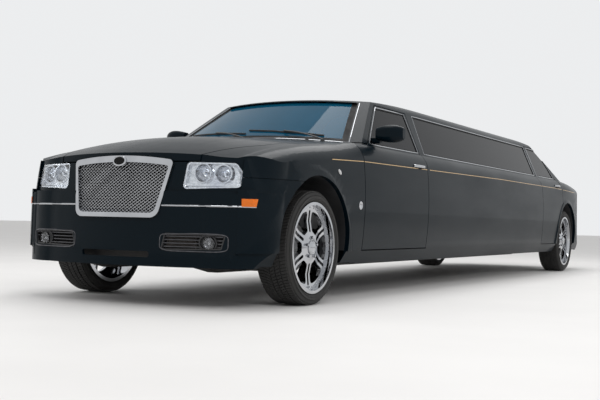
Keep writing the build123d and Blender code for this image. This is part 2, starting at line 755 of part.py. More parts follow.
# Columns: across, height, rim behind the axle, radius, depth
reflectors = [
    (540.0, 800.0, -706.0, 52.0, 62.0),
    (662.0, 796.0, -672.0, 50.0, 58.0),
]
for x, z, rim_s, radius, depth in reflectors:
    outline = Face(
        Wire(
            [
                Line((0, 0, 0), (0, depth + 30.0, 0)),
                Line((0, depth + 30.0, 0), (radius, depth + 30.0, 0)),
                Line((radius, depth + 30.0, 0), (radius, depth, 0)),
                ThreePointArc((radius, depth, 0), (0.72 * radius, 0.34 * depth, 0), (0, 0, 0)),
            ]
        )
    )
    bowl = Rot(180, 0, 0) * revolve(outline, axis=Axis.Y)
    bezel = Rot(90, 0, 0) * (Cylinder(radius + 7.0, 40.0) - Cylinder(radius - 1.0, 50.0))
    place = Pos(x, front_axle_y + rim_s, z)
    bowl_block = bowl_block + (place * bezel & housing & tray)
    bowl_block -= place * Pos(0, depth, 0) * bowl
    bulb = Pos(x, front_axle_y + rim_s + depth / 2, z) * Rot(90, 0, 0) * Cylinder(9.0, depth + 4.0)
    bowl_block += bulb
light_bar = (tray - nose_block(tray_depth + 1.0)) & nose_block(16.0)
light_bar &= slab((0.0, 1000.0), everywhere, (724.0, 738.0))
bowl_block += light_bar

# Fog vent: surround, slats and a round lamp
fog_room = (nose_y - 100.0, front_axle_y - 500.0)
fog_prism = across(rounded_face(fog_points, fog_corner, -seat_gap), *fog_room)
fog_rim = fog_prism - across(rounded_face(fog_points, fog_corner, -9.0), *fog_room)
fog_lamp_x, fog_lamp_z, fog_lamp_radius = 600.0, 392.0, 44.0
fog_tube = Pos(fog_lamp_x, nose_y + 150.0, fog_lamp_z) * Rot(90, 0, 0)
slats = Part()
for step in range(4):
    z = 366.0 + 20.0 * step
    slats += slab((300.0, 760.0), fog_room, (z - 3.5, z + 3.5))
fog_vent = (nose_layer(3.0, 40.0) & fog_rim) + (nose_layer(14.0, 40.0) & fog_prism & slats)
fog_vent -= fog_tube * Cylinder(fog_lamp_radius, 400.0)
fog_bezel = Cylinder(fog_lamp_radius + 1.0, 400.0) - Cylinder(fog_lamp_radius - 7.0, 420.0)
fog_vent += nose_layer(8.0, 40.0) & fog_prism & (fog_tube * fog_bezel)
fog_vent += nose_layer(20.0, 40.0) & fog_prism & (fog_tube * Cylinder(fog_lamp_radius - 6.0, 400.0))

# Rear panels
rear_arches = both_sides(arch_cut(rear_axle_y, arch_radius))
taillight_room = (rear_axle_y + 700.0, tail_y + 100.0)
taillight_opening = across(rounded_face(taillight_points, taillight_corner), *taillight_room)
trunk_lid = rear_shell & lid_prism(0.0)

# Pocket for a number plate in the trunk lid, with two bolt holes
plate_half, plate_z, plate_high, plate_y = 175.0, 835.0, 65.0, tail_y - 50.0
plate_bolts, plate_bolt_radius = 178.0, 3.5
plate_room = (plate_z - plate_high, plate_z + plate_high)
pocket = slab((-plate_half, plate_half), (plate_y, tail_y + 50.0), plate_room)
pocket = fillet(pocket.edges().filter_by(Axis.Y), 12.0)
pocket_wall, pad_thickness = 8.0, 12.0
wall_x = (-plate_half - pocket_wall, plate_half + pocket_wall)
wall_z = (plate_z - plate_high - pocket_wall, plate_z + plate_high + pocket_wall)
pad = slab(wall_x, (plate_y - pad_thickness, plate_y), wall_z)
pocket_round = slab(wall_x, (plate_y - pad_thickness, plate_y + 34.0), wall_z)
trunk_lid = (trunk_lid + (pocket_round & rear_hull)) - pocket + pad
for bolt_x in (-plate_bolts / 2, plate_bolts / 2):
    trunk_lid -= Pos(bolt_x, plate_y, plate_z) * Rot(90, 0, 0) * Cylinder(plate_bolt_radius, 60.0)
rear_rest = rear_shell - lid_prism(lid_seam) - rear_arches - both_sides(taillight_opening)
rear_bumper_zone = slab((-1000.0, 1000.0), (rear_axle_y, tail_y + 100.0), (200.0, lid_bottom - lid_seam))
rear_bumper = rear_rest & rear_bumper_zone
deck_length = (y_cabin_end, rear_axle_y + 500.0)
deck_zone = slab((-lid_half - lid_seam, lid_half + lid_seam), deck_length, (960.0, belt + 28.0))
rear_deck = (rear_rest & deck_zone) + ((framed_top & deck_zone) - rear_hull)
lid_hinge_y = rear_axle_y + lid_front_s
lid_bracket_x, lid_bracket_z = (500.0, 560.0), (1040.0, 1110.0)
lid_bracket = slab(lid_bracket_x, (lid_hinge_y - 60.0, lid_hinge_y - lid_seam), lid_bracket_z) & rear_hull
lid_bracket += slab(lid_bracket_x, (lid_hinge_y - 60.0, lid_hinge_y + 60.0), lid_bracket_z) & rear_seat_space
rear_deck += both_sides(lid_bracket)
quarter = (
    (rear_rest & slab((0.0, 1000.0), (y_cabin_end, tail_y + 100.0), (200.0, 1300.0)))
    - slab((-1000.0, 1000.0), (rear_axle_y, tail_y + 100.0), (200.0, lid_bottom - lid_seam + panel_seam))
    - deck_zone
)
rear_post = side_top & slab((430.0, 1000.0), (rear_post_y, tail_y), (1030.0, 1600.0))
rear_arch_lip = (lower_side & rear_foot) - arch_cut(rear_axle_y, arch_radius)
quarter += ((rear_post - rear_hull) + rear_arch_lip) - rear_door_opening(0.0) - deck_zone

rear_core = lofted(rear_sections, rear_axle_y, 45.0, 60.0, (10.0, 60.0)) & tail_block(45.0)
taillight = (rear_hull - rear_core) & across(
    rounded_face(taillight_points, taillight_corner, -seat_gap), rear_axle_y + 740.0, tail_y + 100.0
)
windshield = glass_layer & across(
    pane_face(windshield_pane, -seat_gap), front_axle_y + 250.0, front_axle_y + 1500.0
)
rear_window = glass_layer & across(
    pane_face(backlight_pane, -seat_gap), rear_axle_y - 900.0, rear_axle_y + 700.0
)

# Mirror on the front corner of each front window: a swept head on a foot that stands on the door
mirror_y, mirror_z = front_axle_y + 1105.0, 1183.0
# Columns: across, shift backwards, depth, height, corner radius of the head's sections
mirror_sections = [
    (848.0, -6.0, 84.0, 92.0, 30.0),
    (930.0, 0.0, 112.0, 124.0, 40.0),
    (1005.0, 12.0, 100.0, 116.0, 40.0),
    (1045.0, 26.0, 58.0, 80.0, 26.0),
]


def mirror_section(x, shift, depth, height, radius):
    plane = Plane(origin=(x, mirror_y + shift, mirror_z), x_dir=(0, 1, 0), z_dir=(1, 0, 0))
    return plane * RectangleRounded(depth, height, radius)


mirror_head = loft([mirror_section(*row) for row in mirror_sections])
glass_face_y = mirror_y + 44.0
mirror_head -= slab((800.0, 1100.0), (glass_face_y, glass_face_y + 100.0), (1000.0, 1400.0))
recess_y, recess_z = (glass_face_y - 7.0, glass_face_y + 50.0), (mirror_z - 48.0, mirror_z + 48.0)
mirror_recess = slab((868.0, 1020.0), recess_y, recess_z)
mirror_head -= fillet(mirror_recess.edges().filter_by(Axis.Y), 24.0)
mirror_foot = slab((770.0, 875.0), (mirror_y - 30.0, mirror_y + 22.0), (1112.0, 1160.0))
mirror_foot = fillet(mirror_foot.edges().filter_by(Axis.X), 14.0)
door_mirror = mirror_head + (mirror_foot - cabin_top)

# Underbody: floor, step over the rear axle and trunk floor
floor_bottom = floor_top - floor_sheet
raised = 560.0
trunk_floor_z = 430.0
rear_well_y = rear_axle_y - arch_radius - 20.0
trunk_y = rear_axle_y + arch_radius + 22.0
floor_sheet_points = [
    (firewall_y + firewall_thickness + seat_gap, floor_bottom),
    (rear_axle_y - 560.0, floor_bottom),
    (rear_axle_y - 470.0, raised - floor_sheet),
    (rear_axle_y + 380.0, raised - floor_sheet),
    (trunk_y, trunk_floor_z - floor_sheet),
    (tail_y - 110.0, trunk_floor_z - floor_sheet),
    (tail_y - 110.0, trunk_floor_z),
    (trunk_y + 16.0, trunk_floor_z),
    (rear_axle_y + 392.0, raised),
    (rear_axle_y - 486.0, raised),
    (rear_axle_y - 576.0, floor_top),
    (firewall_y + firewall_thickness + seat_gap, floor_top),
]
underbody = side_prism(floor_sheet_points, -550.0, 550.0)
floor_end_y = rear_axle_y - 560.0
floor_edge_x, floor_z = door_inner_x - 6.0, (floor_bottom, floor_top)
toe_y = firewall_y + firewall_thickness + seat_gap
cabin_floor = slab((-floor_edge_x, floor_edge_x), (y_front_door + 4.0, floor_end_y), floor_z)
cabin_floor += both_sides(slab((540.0, floor_edge_x), (floor_end_y - 10.0, rear_well_y), floor_z))
toe_floor = slab((-700.0, 700.0), (toe_y, y_front_door + 20.0), floor_z)
underbody = underbody + cabin_floor + toe_floor
trunk_floor = slab((-860.0, 860.0), (trunk_y, tail_y - 60.0), (trunk_floor_z - floor_sheet, trunk_floor_z))
underbody = underbody + (trunk_floor & rear_seat_space)

# Wheel liners: a thin arch over each tyre, from the skin to the inner wall
liner_thickness = 5.0


def liner(axle_y, x_inner, hollow):
    """Half-round liner with an inner wall, kept inside the body's skin."""
    outer = arch_cut(axle_y, arch_radius + liner_thickness, x_inner, 1000.0)
    inner = arch_cut(axle_y, arch_radius, x_inner + liner_thickness, 1010.0)
    shell = (outer - inner) & slab((0.0, 1010.0), (axle_y - 600.0, axle_y + 600.0), (340.0, 900.0))
    return (shell & hollow) - slab((0.0, x_inner + 20.0), (axle_y - 110.0, axle_y + 110.0), (300.0, 570.0))


front_liner = liner(front_axle_y, 462.0, front_seat_space)
behind_cabin = slab((0, 1000.0), (y_cabin_end, tail_y), (0, 1300.0))
rear_liner = liner(rear_axle_y, 556.0, rear_seat_space & behind_cabin)
beside_cabin = slab((0, door_inner_x - seat_gap), (y_cabin_end - 600.0, y_cabin_end), (0, 1300.0))
rear_liner += liner(rear_axle_y, 556.0, beside_cabin)

# Chassis frame under the floor, over the rear axle
rail_in, rail_out = 380.0, 450.0
low_rail, high_rail = 200.0, 435.0
rail_points = [
    (nose_y + 150.0, low_rail + 60.0),
    (front_axle_y - 400.0, low_rail),
    (rear_axle_y - 640.0, low_rail),
    (rear_axle_y - 430.0, high_rail),
    (rear_axle_y + 380.0, high_rail),
    (rear_axle_y + 520.0, trunk_floor_z - floor_sheet - 100.0),
    (tail_y - 120.0, trunk_floor_z - floor_sheet - 100.0),
    (tail_y - 120.0, trunk_floor_z - floor_sheet - seat_gap),
    (rear_axle_y + 480.0, trunk_floor_z - floor_sheet - seat_gap),
    (rear_axle_y + 370.0, raised - floor_sheet - seat_gap),
    (rear_axle_y - 458.0, raised - floor_sheet - seat_gap),
    (rear_axle_y - 552.0, floor_bottom - seat_gap),
    (front_axle_y - 380.0, floor_bottom - seat_gap),
    (nose_y + 150.0, floor_bottom + 60.0),
]
chassis = both_sides(side_prism(rail_points, rail_in, rail_out))
# Columns: place along the car, low and high of the cross member
cross_members = [
    (nose_y + 150.0, 262.0, 358.0),
    (front_axle_y, 205.0, 295.0),
    (front_axle_y + 900.0, 205.0, 295.0),
    (front_axle_y + 2400.0, 205.0, 295.0),
    (front_axle_y + 4000.0, 205.0, 295.0),
    (rear_axle_y - 700.0, 205.0, 295.0),
    (rear_axle_y + 330.0, high_rail + 5.0, high_rail + 85.0),
    (tail_y - 180.0, 310.0, 400.0),
]
for y, low, high in cross_members:
    chassis += slab((-rail_out, rail_out), (y, y + 60.0), (low, high))
for y, low, high in cross_members[2:6]:
    chassis += slab((-door_inner_x + 1.0, door_inner_x - 1.0), (y, y + 60.0), (low + 30.0, high))
chassis -= underbody

# Engine, gearbox and shaft
engine = slab((-240.0, 240.0), (front_axle_y - 330.0, front_axle_y + 330.0), (295.0 + seat_gap, 820.0))
engine = chamfer(engine.edges().group_by(Axis.Z)[-1], 40.0)
engine_mount = slab((240.0 + seat_gap, 420.0), (front_axle_y - 60.0, front_axle_y + 60.0), (285.0, 360.0))
chassis += both_sides(engine_mount)

# Front suspension: towers, arms and springs
kingpin_x = track / 2 - kingpin_inset
upper_z = tyre_radius + ball_joint_rise
lower_z = tyre_radius - ball_joint_rise
tower_y = (front_axle_y - 70.0, front_axle_y + 70.0)
tower = slab((rail_out + seat_gap - 70.0, rail_out + 4.0), tower_y, (floor_bottom, upper_z + 30.0))


def arm(z):
    """Wishbone from the frame to the kingpin, as two legs and an end."""
    legs = Part()
    for toward in (-1, 1):
        a = (rail_out - 6.0, front_axle_y + toward * 50.0)
        b = (kingpin_x, front_axle_y)
        run = math.hypot(b[0] - a[0], b[1] - a[1])
        turn = math.degrees(math.atan2(b[1] - a[1], b[0] - a[0]))
        legs += Pos((a[0] + b[0]) / 2, (a[1] + b[1]) / 2, z) * Rot(0, 0, turn) * Box(run, 26.0, 22.0)
    return legs + post(24.0, kingpin_x, front_axle_y, z - 12.0, z + 12.0)


suspension_left = tower + arm(upper_z) + arm(lower_z)
suspension_left -= post(kingpin_radius + running_gap, kingpin_x, front_axle_y, 100.0, 700.0)
front_suspension = both_sides(suspension_left) - chassis

# Knuckle: kingpin post, carrier, stub axle and brake disc
knuckle_low, knuckle_high = lower_z + 12.0 + running_gap, upper_z - 12.0 - running_gap
knuckle = post(kingpin_radius, kingpin_x, front_axle_y, lower_z - 20.0, upper_z + 20.0)
carrier_y = (front_axle_y - 30.0, front_axle_y + 30.0)
knuckle += slab((kingpin_x - 26.0, kingpin_x + 26.0), carrier_y, (knuckle_low, knuckle_high))
knuckle += axle_rod(stub_radius, kingpin_x, track / 2 + 88.0, front_axle_y, tyre_radius)
knuckle += axle_rod(160.0, kingpin_x + 30.0, kingpin_x + 56.0, front_axle_y, tyre_radius)
knuckle += axle_rod(60.0, kingpin_x, kingpin_x + 60.0, front_axle_y, tyre_radius)

# Rear axle
axle_half = Plane.XY * make_face(
    Polyline((0, 0), (kingpin_x, 0), (kingpin_x, 45.0), (130.0, 45.0), (70.0, 118.0), (0, 125.0), close=True)
)
rear_axle = both_sides(Pos(0, rear_axle_y, tyre_radius) * revolve(axle_half, axis=Axis.X))
rear_axle += both_sides(
    axle_rod(stub_radius, kingpin_x - 10.0, track / 2 + 88.0, rear_axle_y, tyre_radius)
    + axle_rod(160.0, kingpin_x + 30.0, kingpin_x + 56.0, rear_axle_y, tyre_radius)
    + axle_rod(60.0, kingpin_x - 20.0, kingpin_x + 60.0, rear_axle_y, tyre_radius)
    + slab((rail_in, rail_out), (rear_axle_y - 40.0, rear_axle_y + 40.0), (tyre_radius, high_rail - seat_gap))
)


# Wheels
def wheel_blank(profile, x, y):
    """Solid of revolution about the wheel's axis from (offset outwards, radius) corners."""
    face = make_face(Polyline(*[(a, r) for a, r in profile], close=True))
    return Pos(x, y, tyre_radius) * revolve(face, axis=Axis.X)


tyre_half, rim_half = tyre_width / 2, rim_width / 2
tyre_profile = [
    (-rim_half + 11.0, rim_radius + seat_gap - 12.0),
    (-rim_half + 6.5, rim_radius + 0.8),
    (-tyre_half + 4.0, rim_radius + 8.0),
    (-tyre_half, rim_radius + 40.0),
    (-tyre_half + 8.0, tyre_radius - 26.0),
    (-tyre_half + 28.0, tyre_radius - 4.0),
    (0.0, tyre_radius),
    (tyre_half - 28.0, tyre_radius - 4.0),
    (tyre_half - 8.0, tyre_radius - 26.0),
    (tyre_half, rim_radius + 40.0),
    (tyre_half - 4.0, rim_radius + 8.0),
    (rim_half - 6.5, rim_radius + 0.8),
    (rim_half - 11.0, rim_radius + seat_gap - 12.0),
]
barrel_profile = [
    (-rim_half, rim_radius),
    (-rim_half, barrel_radius),
    (rim_half - 30.0, barrel_radius),
    (rim_half, barrel_radius + 6.0),
    (rim_half, rim_radius),
    (rim_half - 6.0, rim_radius),
    (rim_half - 10.0, rim_radius - 12.0),
    (-rim_half + 10.0, rim_radius - 12.0),
    (-rim_half + 6.0, rim_radius),
]

# Dish that carries the spokes, as (offset outwards, radius): front face going out, back face coming in
spoke_back, hub_front = 44.0, 92.0
dish_profile = [
    (hub_front, stub_radius + running_gap),
    (hub_front, 52.0),
    (84.0, hub_radius),
    (68.0, 170.0),
    (78.0, barrel_radius + 4.0),
    (54.0, barrel_radius + 4.0),
    (44.0, 170.0),
    (48.0, hub_radius),
    (kingpin_x + 61.0 - track / 2, hub_radius - 16.0),
    (kingpin_x + 61.0 - track / 2, stub_radius + running_gap),
]
# Openings between the pairs of spokes and the slot inside each pair
pair_half, window_inner, window_outer, window_corner = 28.0, 104.0, 236.0, 20.0
slot_width, slot_inner, slot_outer = 20.0, 98.0, 240.0


def wheel_window():
    """Rounded opening between two pairs of spokes, drawn upright in the wheel's plane."""
    spread = math.tan(math.radians(180.0 / spoke_pairs))
    start = pair_half / math.sin(math.radians(180.0 / spoke_pairs))
    low_x, high_x = (window_inner - start) * spread, (window_outer - start) * spread
    drop = window_outer - math.sqrt(window_outer**2 - high_x**2)
    high_y = window_outer - drop
    high_x = (high_y - start) * spread
    edges = [
        Line((-low_x, window_inner), (low_x, window_inner)),
        Line((low_x, window_inner), (high_x, high_y)),
        ThreePointArc((high_x, high_y), (0, window_outer), (-high_x, high_y)),
        Line((-high_x, high_y), (-low_x, window_inner)),
    ]
    face = Face(Wire(edges))
    return fillet(face.vertices(), window_corner)


def build_rim(y):
    """Left rim at the front or rear axle: barrel, hub and a dish cut into six pairs of spokes."""
    rim = wheel_blank(barrel_profile, 0, 0) + wheel_blank(dish_profile, 0, 0)
    wheel_plane = Plane(origin=(0, 0, tyre_radius), x_dir=(0, 1, 0), z_dir=(1, 0, 0))
    window = extrude(wheel_plane * wheel_window(), amount=120.0, dir=(1, 0, 0))
    slot_z = tyre_radius + (slot_inner + slot_outer) / 2
    slot = Pos(60.0, 0, slot_z) * Box(120.0, slot_width, slot_outer - slot_inner)
    slot = fillet(slot.edges().filter_by(Axis.X), slot_width / 2 - 0.5)
    centre = Axis((0, 0, tyre_radius), (1, 0, 0))
    step = 360.0 / spoke_pairs
    for number in range(spoke_pairs):
        rim -= slot.rotate(centre, number * step)
        rim -= window.rotate(centre, (number + 0.5) * step)
    return Pos(track / 2, y, 0) * rim


rim_front = build_rim(front_axle_y)
rim_rear = Pos(0, wheelbase, 0) * rim_front
tyre_front = wheel_blank(tyre_profile, track / 2, front_axle_y)
tyre_rear = wheel_blank(tyre_profile, track / 2, rear_axle_y)

# Driveline, exhaust and tank


def tube(radius, a, b):
    """Round tube between two points, solid."""
    path = Vector(*b) - Vector(*a)
    plane = Plane(origin=a, z_dir=path)
    return plane * Pos(0, 0, path.length / 2) * Cylinder(radius, path.length)


gearbox_end = front_axle_y + 890.0
driveline = slab((-110.0, 110.0), (front_axle_y + 330.0 + seat_gap, gearbox_end), (209.0, 299.0))

shaft_z = 252.0
driveline += tube(30.0, (0, gearbox_end - 5.0, shaft_z), (0, rear_axle_y - 620.0, shaft_z))
driveline += tube(30.0, (0, rear_axle_y - 640.0, shaft_z - 2.0), (0, rear_axle_y - 125.3, tyre_radius - 14.0))
for y, low, high in cross_members[2:6]:
    chassis -= slab((-46.0, 46.0), (y - 5.0, y + 65.0), (low - 5.0, low + 90.0))
    chassis += slab((-80.0, 80.0), (y, y + 60.0), (high - 8.0, high))
    chassis += slab((-80.0, 80.0), (y, y + 60.0), (low, low + 8.0))
tank_top = trunk_floor_z - floor_sheet - seat_gap
fuel_tank = slab((-370.0, 370.0), (rear_axle_y + 540.0, tail_y - 240.0), (tank_top - 150.0, tank_top))
fuel_tank = fillet(fuel_tank.edges().filter_by(Axis.Y), 30.0)

# Inside the cabin
dash_y = y_front_door - 50.0
dash_front = firewall_y + firewall_thickness + seat_gap
dash_top = 1052.0
dash_points = [
    (dash_front, 760.0),
    (dash_y + 240.0, 700.0),
    (dash_y + 300.0, 880.0),
    (dash_y + 250.0, dash_top),
    (dash_front, dash_top),
]
dashboard = side_prism(dash_points, -700.0, 700.0)
dashboard = fillet(dashboard.edges().filter_by(Axis.X).sort_by(Axis.Y)[-3:], 30.0)
dashboard -= both_sides(
    slab((635.0, 695.0), (dash_front - 10.0, front_axle_y + hood_hinge_s + 5.0), (bracket_low - 5.0, 1100.0))
)


def seat(x_low, x_high, y_front, depth, back_top):
    """Plain seat with a cushion and a leaning back on a box base."""
    base_y = (y_front + 60.0, y_front + depth)
    base = slab((x_low + 40.0, x_high - 40.0), base_y, (floor_top + seat_gap, 480.0))
    cushion = slab((x_low, x_high), (y_front, y_front + depth), (480.0, 640.0))
    back = side_prism(
        [
            (y_front + depth - 90.0, 600.0),
            (y_front + depth + 60.0, 600.0),
            (y_front + depth + 220.0, back_top),
            (y_front + depth + 120.0, back_top),
        ],
        x_low,
        x_high,
    )
    return base + fillet(cushion.edges().filter_by(Axis.X), 40.0) + back


front_seats = both_sides(seat(80.0, 660.0, front_axle_y + 1240.0, 500.0, 1120.0))
partition_y = y_door_end + 90.0
partition = front_prism(
    [(-740.0, floor_top + seat_gap), (740.0, floor_top + seat_gap), (740.0, 1130.0), (-740.0, 1130.0)],
    partition_y,
    partition_y + 40.0,
)
lounge = slab((-640.0, 640.0), (rear_axle_y - 830.0, rear_axle_y - 600.0), (floor_top + seat_gap, 680.0))
bench = side_prism(
    [
        (rear_axle_y - 900.0, 560.0),
        (rear_axle_y - 900.0, 700.0),
        (rear_axle_y - 420.0, 680.0),
        (rear_axle_y - 270.0, 1180.0),
        (rear_axle_y - 190.0, 1180.0),
        (rear_axle_y - 190.0, 1062.0),
        (rear_axle_y - 330.0, 560.0 + seat_gap),
    ],
    -700.0,
    700.0,
)
sofa_y = (y_door_end + 900.0, y_rear_door - 120.0)
side_sofa = slab((-door_inner_x + 3.0, -250.0), sofa_y, (floor_top + seat_gap, 680.0))
side_back = slab((-door_inner_x + 3.0, -630.0), sofa_y, (680.0, 1060.0))
lounge_seats = bench + lounge + side_sofa + side_back
lounge_seats -= both_sides(arch_cut(rear_axle_y, arch_radius + 6.0, 550.0, 800.0))
lounge_seats -= slab((-560.0, 560.0), (rear_axle_y - 575.0, rear_axle_y), (0.0, raised + seat_gap))
bar_y = (y_door_end + 500.0, y_rear_door - 300.0)
bar_cabinet = slab((330.0, door_inner_x - 3.0), bar_y, (floor_top + seat_gap, 950.0))

# Steering wheel on its column
wheel_x = 370.0
column_tilt = 24.0
steering_wheel = Rot(90, 0, 0) * Torus(185.0, 15.0)
steering_wheel += Rot(90, 0, 0) * Cylinder(40.0, 30.0)
for turn in (0.0, 120.0, 240.0):
    steering_wheel += Rot(0, turn, 0) * Pos(100.0, 0, 0) * Box(160.0, 14.0, 26.0)
steering_wheel += Pos(0, -150.0, 0) * Rot(90, 0, 0) * Cylinder(24.0, 300.0)
steering_wheel = Pos(wheel_x, dash_y + 470.0, 940.0) * Rot(-column_tilt, 0, 0) * steering_wheel
steering_wheel = (steering_wheel - dashboard).solids().sort_by(SortBy.VOLUME)[-1]

# Nodes written to parts: name and solid for single pieces, then pairs named left and right
singles = {
    "roof": roof,
    "hood": hood,
    "front_bumper": front_bumper,
    "cowl": cowl,
    "grille_frame": grille_frame,
    "grille_mesh": grille_mesh,
    "headlights": both_sides(headlight),
    "headlight_bowls": both_sides(bowl_block),
    "fog_vents": both_sides(fog_vent),
    "windshield": windshield,
    "rear_window": rear_window,
    "trunk_lid": trunk_lid,
    "rear_bumper": rear_bumper,
    "rear_deck": rear_deck,
    "taillights": both_sides(taillight),
    "underbody": underbody,
    "wheel_liners": both_sides(front_liner) + both_sides(rear_liner),
    "chassis_frame": chassis,
    "engine": engine,
    "front_suspension": front_suspension,
    "rear_axle": rear_axle,
    "driveline": driveline,
    "dashboard": dashboard,
    "steering_wheel": steering_wheel,
    "front_seats": front_seats,
    "partition": partition,
    "lounge_seats": lounge_seats,
    "bar_cabinet": bar_cabinet,
    "fuel_tank": fuel_tank,
}
pairs = {
    "side_panel": side,
    "fender": fender,
    "rear_quarter": quarter,
    "front_door": front_door,
    "rear_door": rear_door,
    "front_door_glass": front_glass,
    "rear_door_glass": rear_glass,
    "long_window": stretch_glass,
    "mirror": door_mirror,
    "knuckle": knuckle,
    "front_rim": rim_front,
    "rear_rim": rim_rear,
    "front_tyre": tyre_front,
    "rear_tyre": tyre_rear,
}
for name, shape in singles.items():
    export_step(shape, f"parts/{name}.step")
for name, shape in pairs.items():
    export_step(shape, f"parts/{name}_left.step")
    export_step(flipped(shape), f"parts/{name}_right.step")
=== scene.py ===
import json
import math

import bmesh
import bpy
from bpy.props import FloatProperty, FloatVectorProperty, IntProperty, PointerProperty
from mathutils import Matrix, Vector


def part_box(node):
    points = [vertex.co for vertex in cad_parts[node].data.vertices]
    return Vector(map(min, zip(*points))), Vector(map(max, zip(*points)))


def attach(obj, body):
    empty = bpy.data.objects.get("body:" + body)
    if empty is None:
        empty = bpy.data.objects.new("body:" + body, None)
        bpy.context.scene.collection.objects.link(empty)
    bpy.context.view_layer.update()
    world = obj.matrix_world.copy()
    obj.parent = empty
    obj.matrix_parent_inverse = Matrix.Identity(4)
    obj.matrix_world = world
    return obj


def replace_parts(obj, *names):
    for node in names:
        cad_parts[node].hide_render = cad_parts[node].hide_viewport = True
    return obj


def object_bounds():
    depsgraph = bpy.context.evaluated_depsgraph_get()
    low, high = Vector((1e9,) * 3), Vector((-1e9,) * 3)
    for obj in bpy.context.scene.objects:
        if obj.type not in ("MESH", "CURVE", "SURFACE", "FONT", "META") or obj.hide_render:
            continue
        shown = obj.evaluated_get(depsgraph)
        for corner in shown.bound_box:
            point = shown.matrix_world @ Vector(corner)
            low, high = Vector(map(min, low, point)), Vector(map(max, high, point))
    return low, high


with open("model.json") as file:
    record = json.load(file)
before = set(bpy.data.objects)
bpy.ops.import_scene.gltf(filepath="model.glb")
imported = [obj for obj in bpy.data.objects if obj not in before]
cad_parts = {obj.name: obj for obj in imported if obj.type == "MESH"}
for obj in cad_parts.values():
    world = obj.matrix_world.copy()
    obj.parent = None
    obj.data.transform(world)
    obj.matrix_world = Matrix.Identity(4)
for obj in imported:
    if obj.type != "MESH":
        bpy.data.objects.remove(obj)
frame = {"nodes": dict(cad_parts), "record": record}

bl_info = {
    "name": "Stretch limousine",
    "version": (1, 0, 0),
    "blender": (4, 5, 0),
    "location": "View3D > Sidebar > Limousine",
    "description": "Finishes, fittings and studio for a black stretch limousine",
    "category": "Object",
}

NODES = frame["nodes"]
CAD_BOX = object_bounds()
SIDES = (("left", 1.0), ("right", -1.0))
BODY_OF = {node: body for body, nodes in frame["record"]["behaviour"]["bodies"].items() for node in nodes}


def corners(node):
    """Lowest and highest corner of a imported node, as vectors."""
    low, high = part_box(node)
    return Vector(low), Vector(high)


FRONT_AXLE = sum(corners("front_tyre_left"), Vector()) / 2
REAR_AXLE = sum(corners("rear_tyre_left"), Vector()) / 2
TYRE_RADIUS = FRONT_AXLE.z
AXLES = (("front", FRONT_AXLE), ("rear", REAR_AXLE))


# Finishes

EVEN = (1.0, 1.0, 1.0)
# The part of a grain's values that tints and roughness spread over
GRAIN_BAND = (0.3, 0.7)


def noise(scale, stretch=EVEN, detail=2.0):
    """Grain of soft clouds."""
    return "noise", scale, stretch, detail


def cells(scale):
    """Grain of small cells."""
    return "cells", scale, EVEN, 0.0


def grain_output(tree, kind, scale, stretch, detail):
    """Value output of a grain that is read from object coordinates."""
    where = tree.nodes.new("ShaderNodeTexCoord")
    mapping = tree.nodes.new("ShaderNodeMapping")
    mapping.inputs["Scale"].default_value = stretch
    tree.links.new(where.outputs["Object"], mapping.inputs["Vector"])
    pattern = tree.nodes.new("ShaderNodeTexVoronoi" if kind == "cells" else "ShaderNodeTexNoise")
    pattern.inputs["Scale"].default_value = scale
    if kind == "noise":
        pattern.inputs["Detail"].default_value = detail
    tree.links.new(mapping.outputs["Vector"], pattern.inputs["Vector"])
    return pattern.outputs["Distance" if kind == "cells" else "Fac"]


def tint_between(tree, value, dark, light):
    """Colour that runs from dark to light with a grain's value."""
    ramp = tree.nodes.new("ShaderNodeValToRGB")
    for stop, position, colour in zip(ramp.color_ramp.elements, GRAIN_BAND, (dark, light)):
        stop.position = position
        stop.color = (*colour, 1.0)
    tree.links.new(value, ramp.inputs["Fac"])
    return ramp.outputs["Color"]


def make_finish(name, tints, tint_grain, roughness=None, rough_grain=None, bump=None, **levels):
    """Material from grains: bump is (grain, strength, distance), and levels set the shader's sockets."""
    material = bpy.data.materials.new(name)
    material.use_nodes = True
    tree = material.node_tree
    shader = next(node for node in tree.nodes if node.type == "BSDF_PRINCIPLED")
    made = {}

    def value_of(grain):
        """Output of a grain, made once in each material."""
        if grain not in made:
            made[grain] = grain_output(tree, *grain)
        return made[grain]

    tree.links.new(tint_between(tree, value_of(tint_grain), *tints), shader.inputs["Base Color"])
    if roughness:
        spread = tree.nodes.new("ShaderNodeMapRange")
        for socket, level in zip(("From Min", "From Max", "To Min", "To Max"), (*GRAIN_BAND, *roughness)):
            spread.inputs[socket].default_value = level
        tree.links.new(value_of(rough_grain), spread.inputs["Value"])
        tree.links.new(spread.outputs["Result"], shader.inputs["Roughness"])
    if bump:
        grain, strength, distance = bump
        relief = tree.nodes.new("ShaderNodeBump")
        relief.inputs["Strength"].default_value = strength
        relief.inputs["Distance"].default_value = distance
        tree.links.new(value_of(grain), relief.inputs["Height"])
        tree.links.new(relief.outputs["Normal"], shader.inputs["Normal"])
    for socket, level in levels.items():
        shader.inputs[socket.replace("_", " ")].default_value = level
    return material


def deep_gloss(name, tints, coat, coat_rough):
    """Clear-coated paint: faint flake in the colour, a little orange peel and a smooth coat."""
    return make_finish(name, tints, cells(1400.0), (0.30, 0.42), noise(3.0, (1.0, 0.3, 1.0), 4.0),
                       (noise(260.0, detail=1.0), 0.02, 0.0005), Specular_IOR_Level=0.05, Coat_Weight=coat,
                       Coat_IOR=1.32, Coat_Roughness=coat_rough)


def bright_metal(name, tints, roughness, scale=40.0, stretch=EVEN, bump=0.04):
    """Plated or machined metal with uneven roughness."""
    grain = noise(scale, stretch, 5.0)
    return make_finish(name, tints, grain, roughness, grain, (grain, bump, 0.0004), Metallic=1.0)


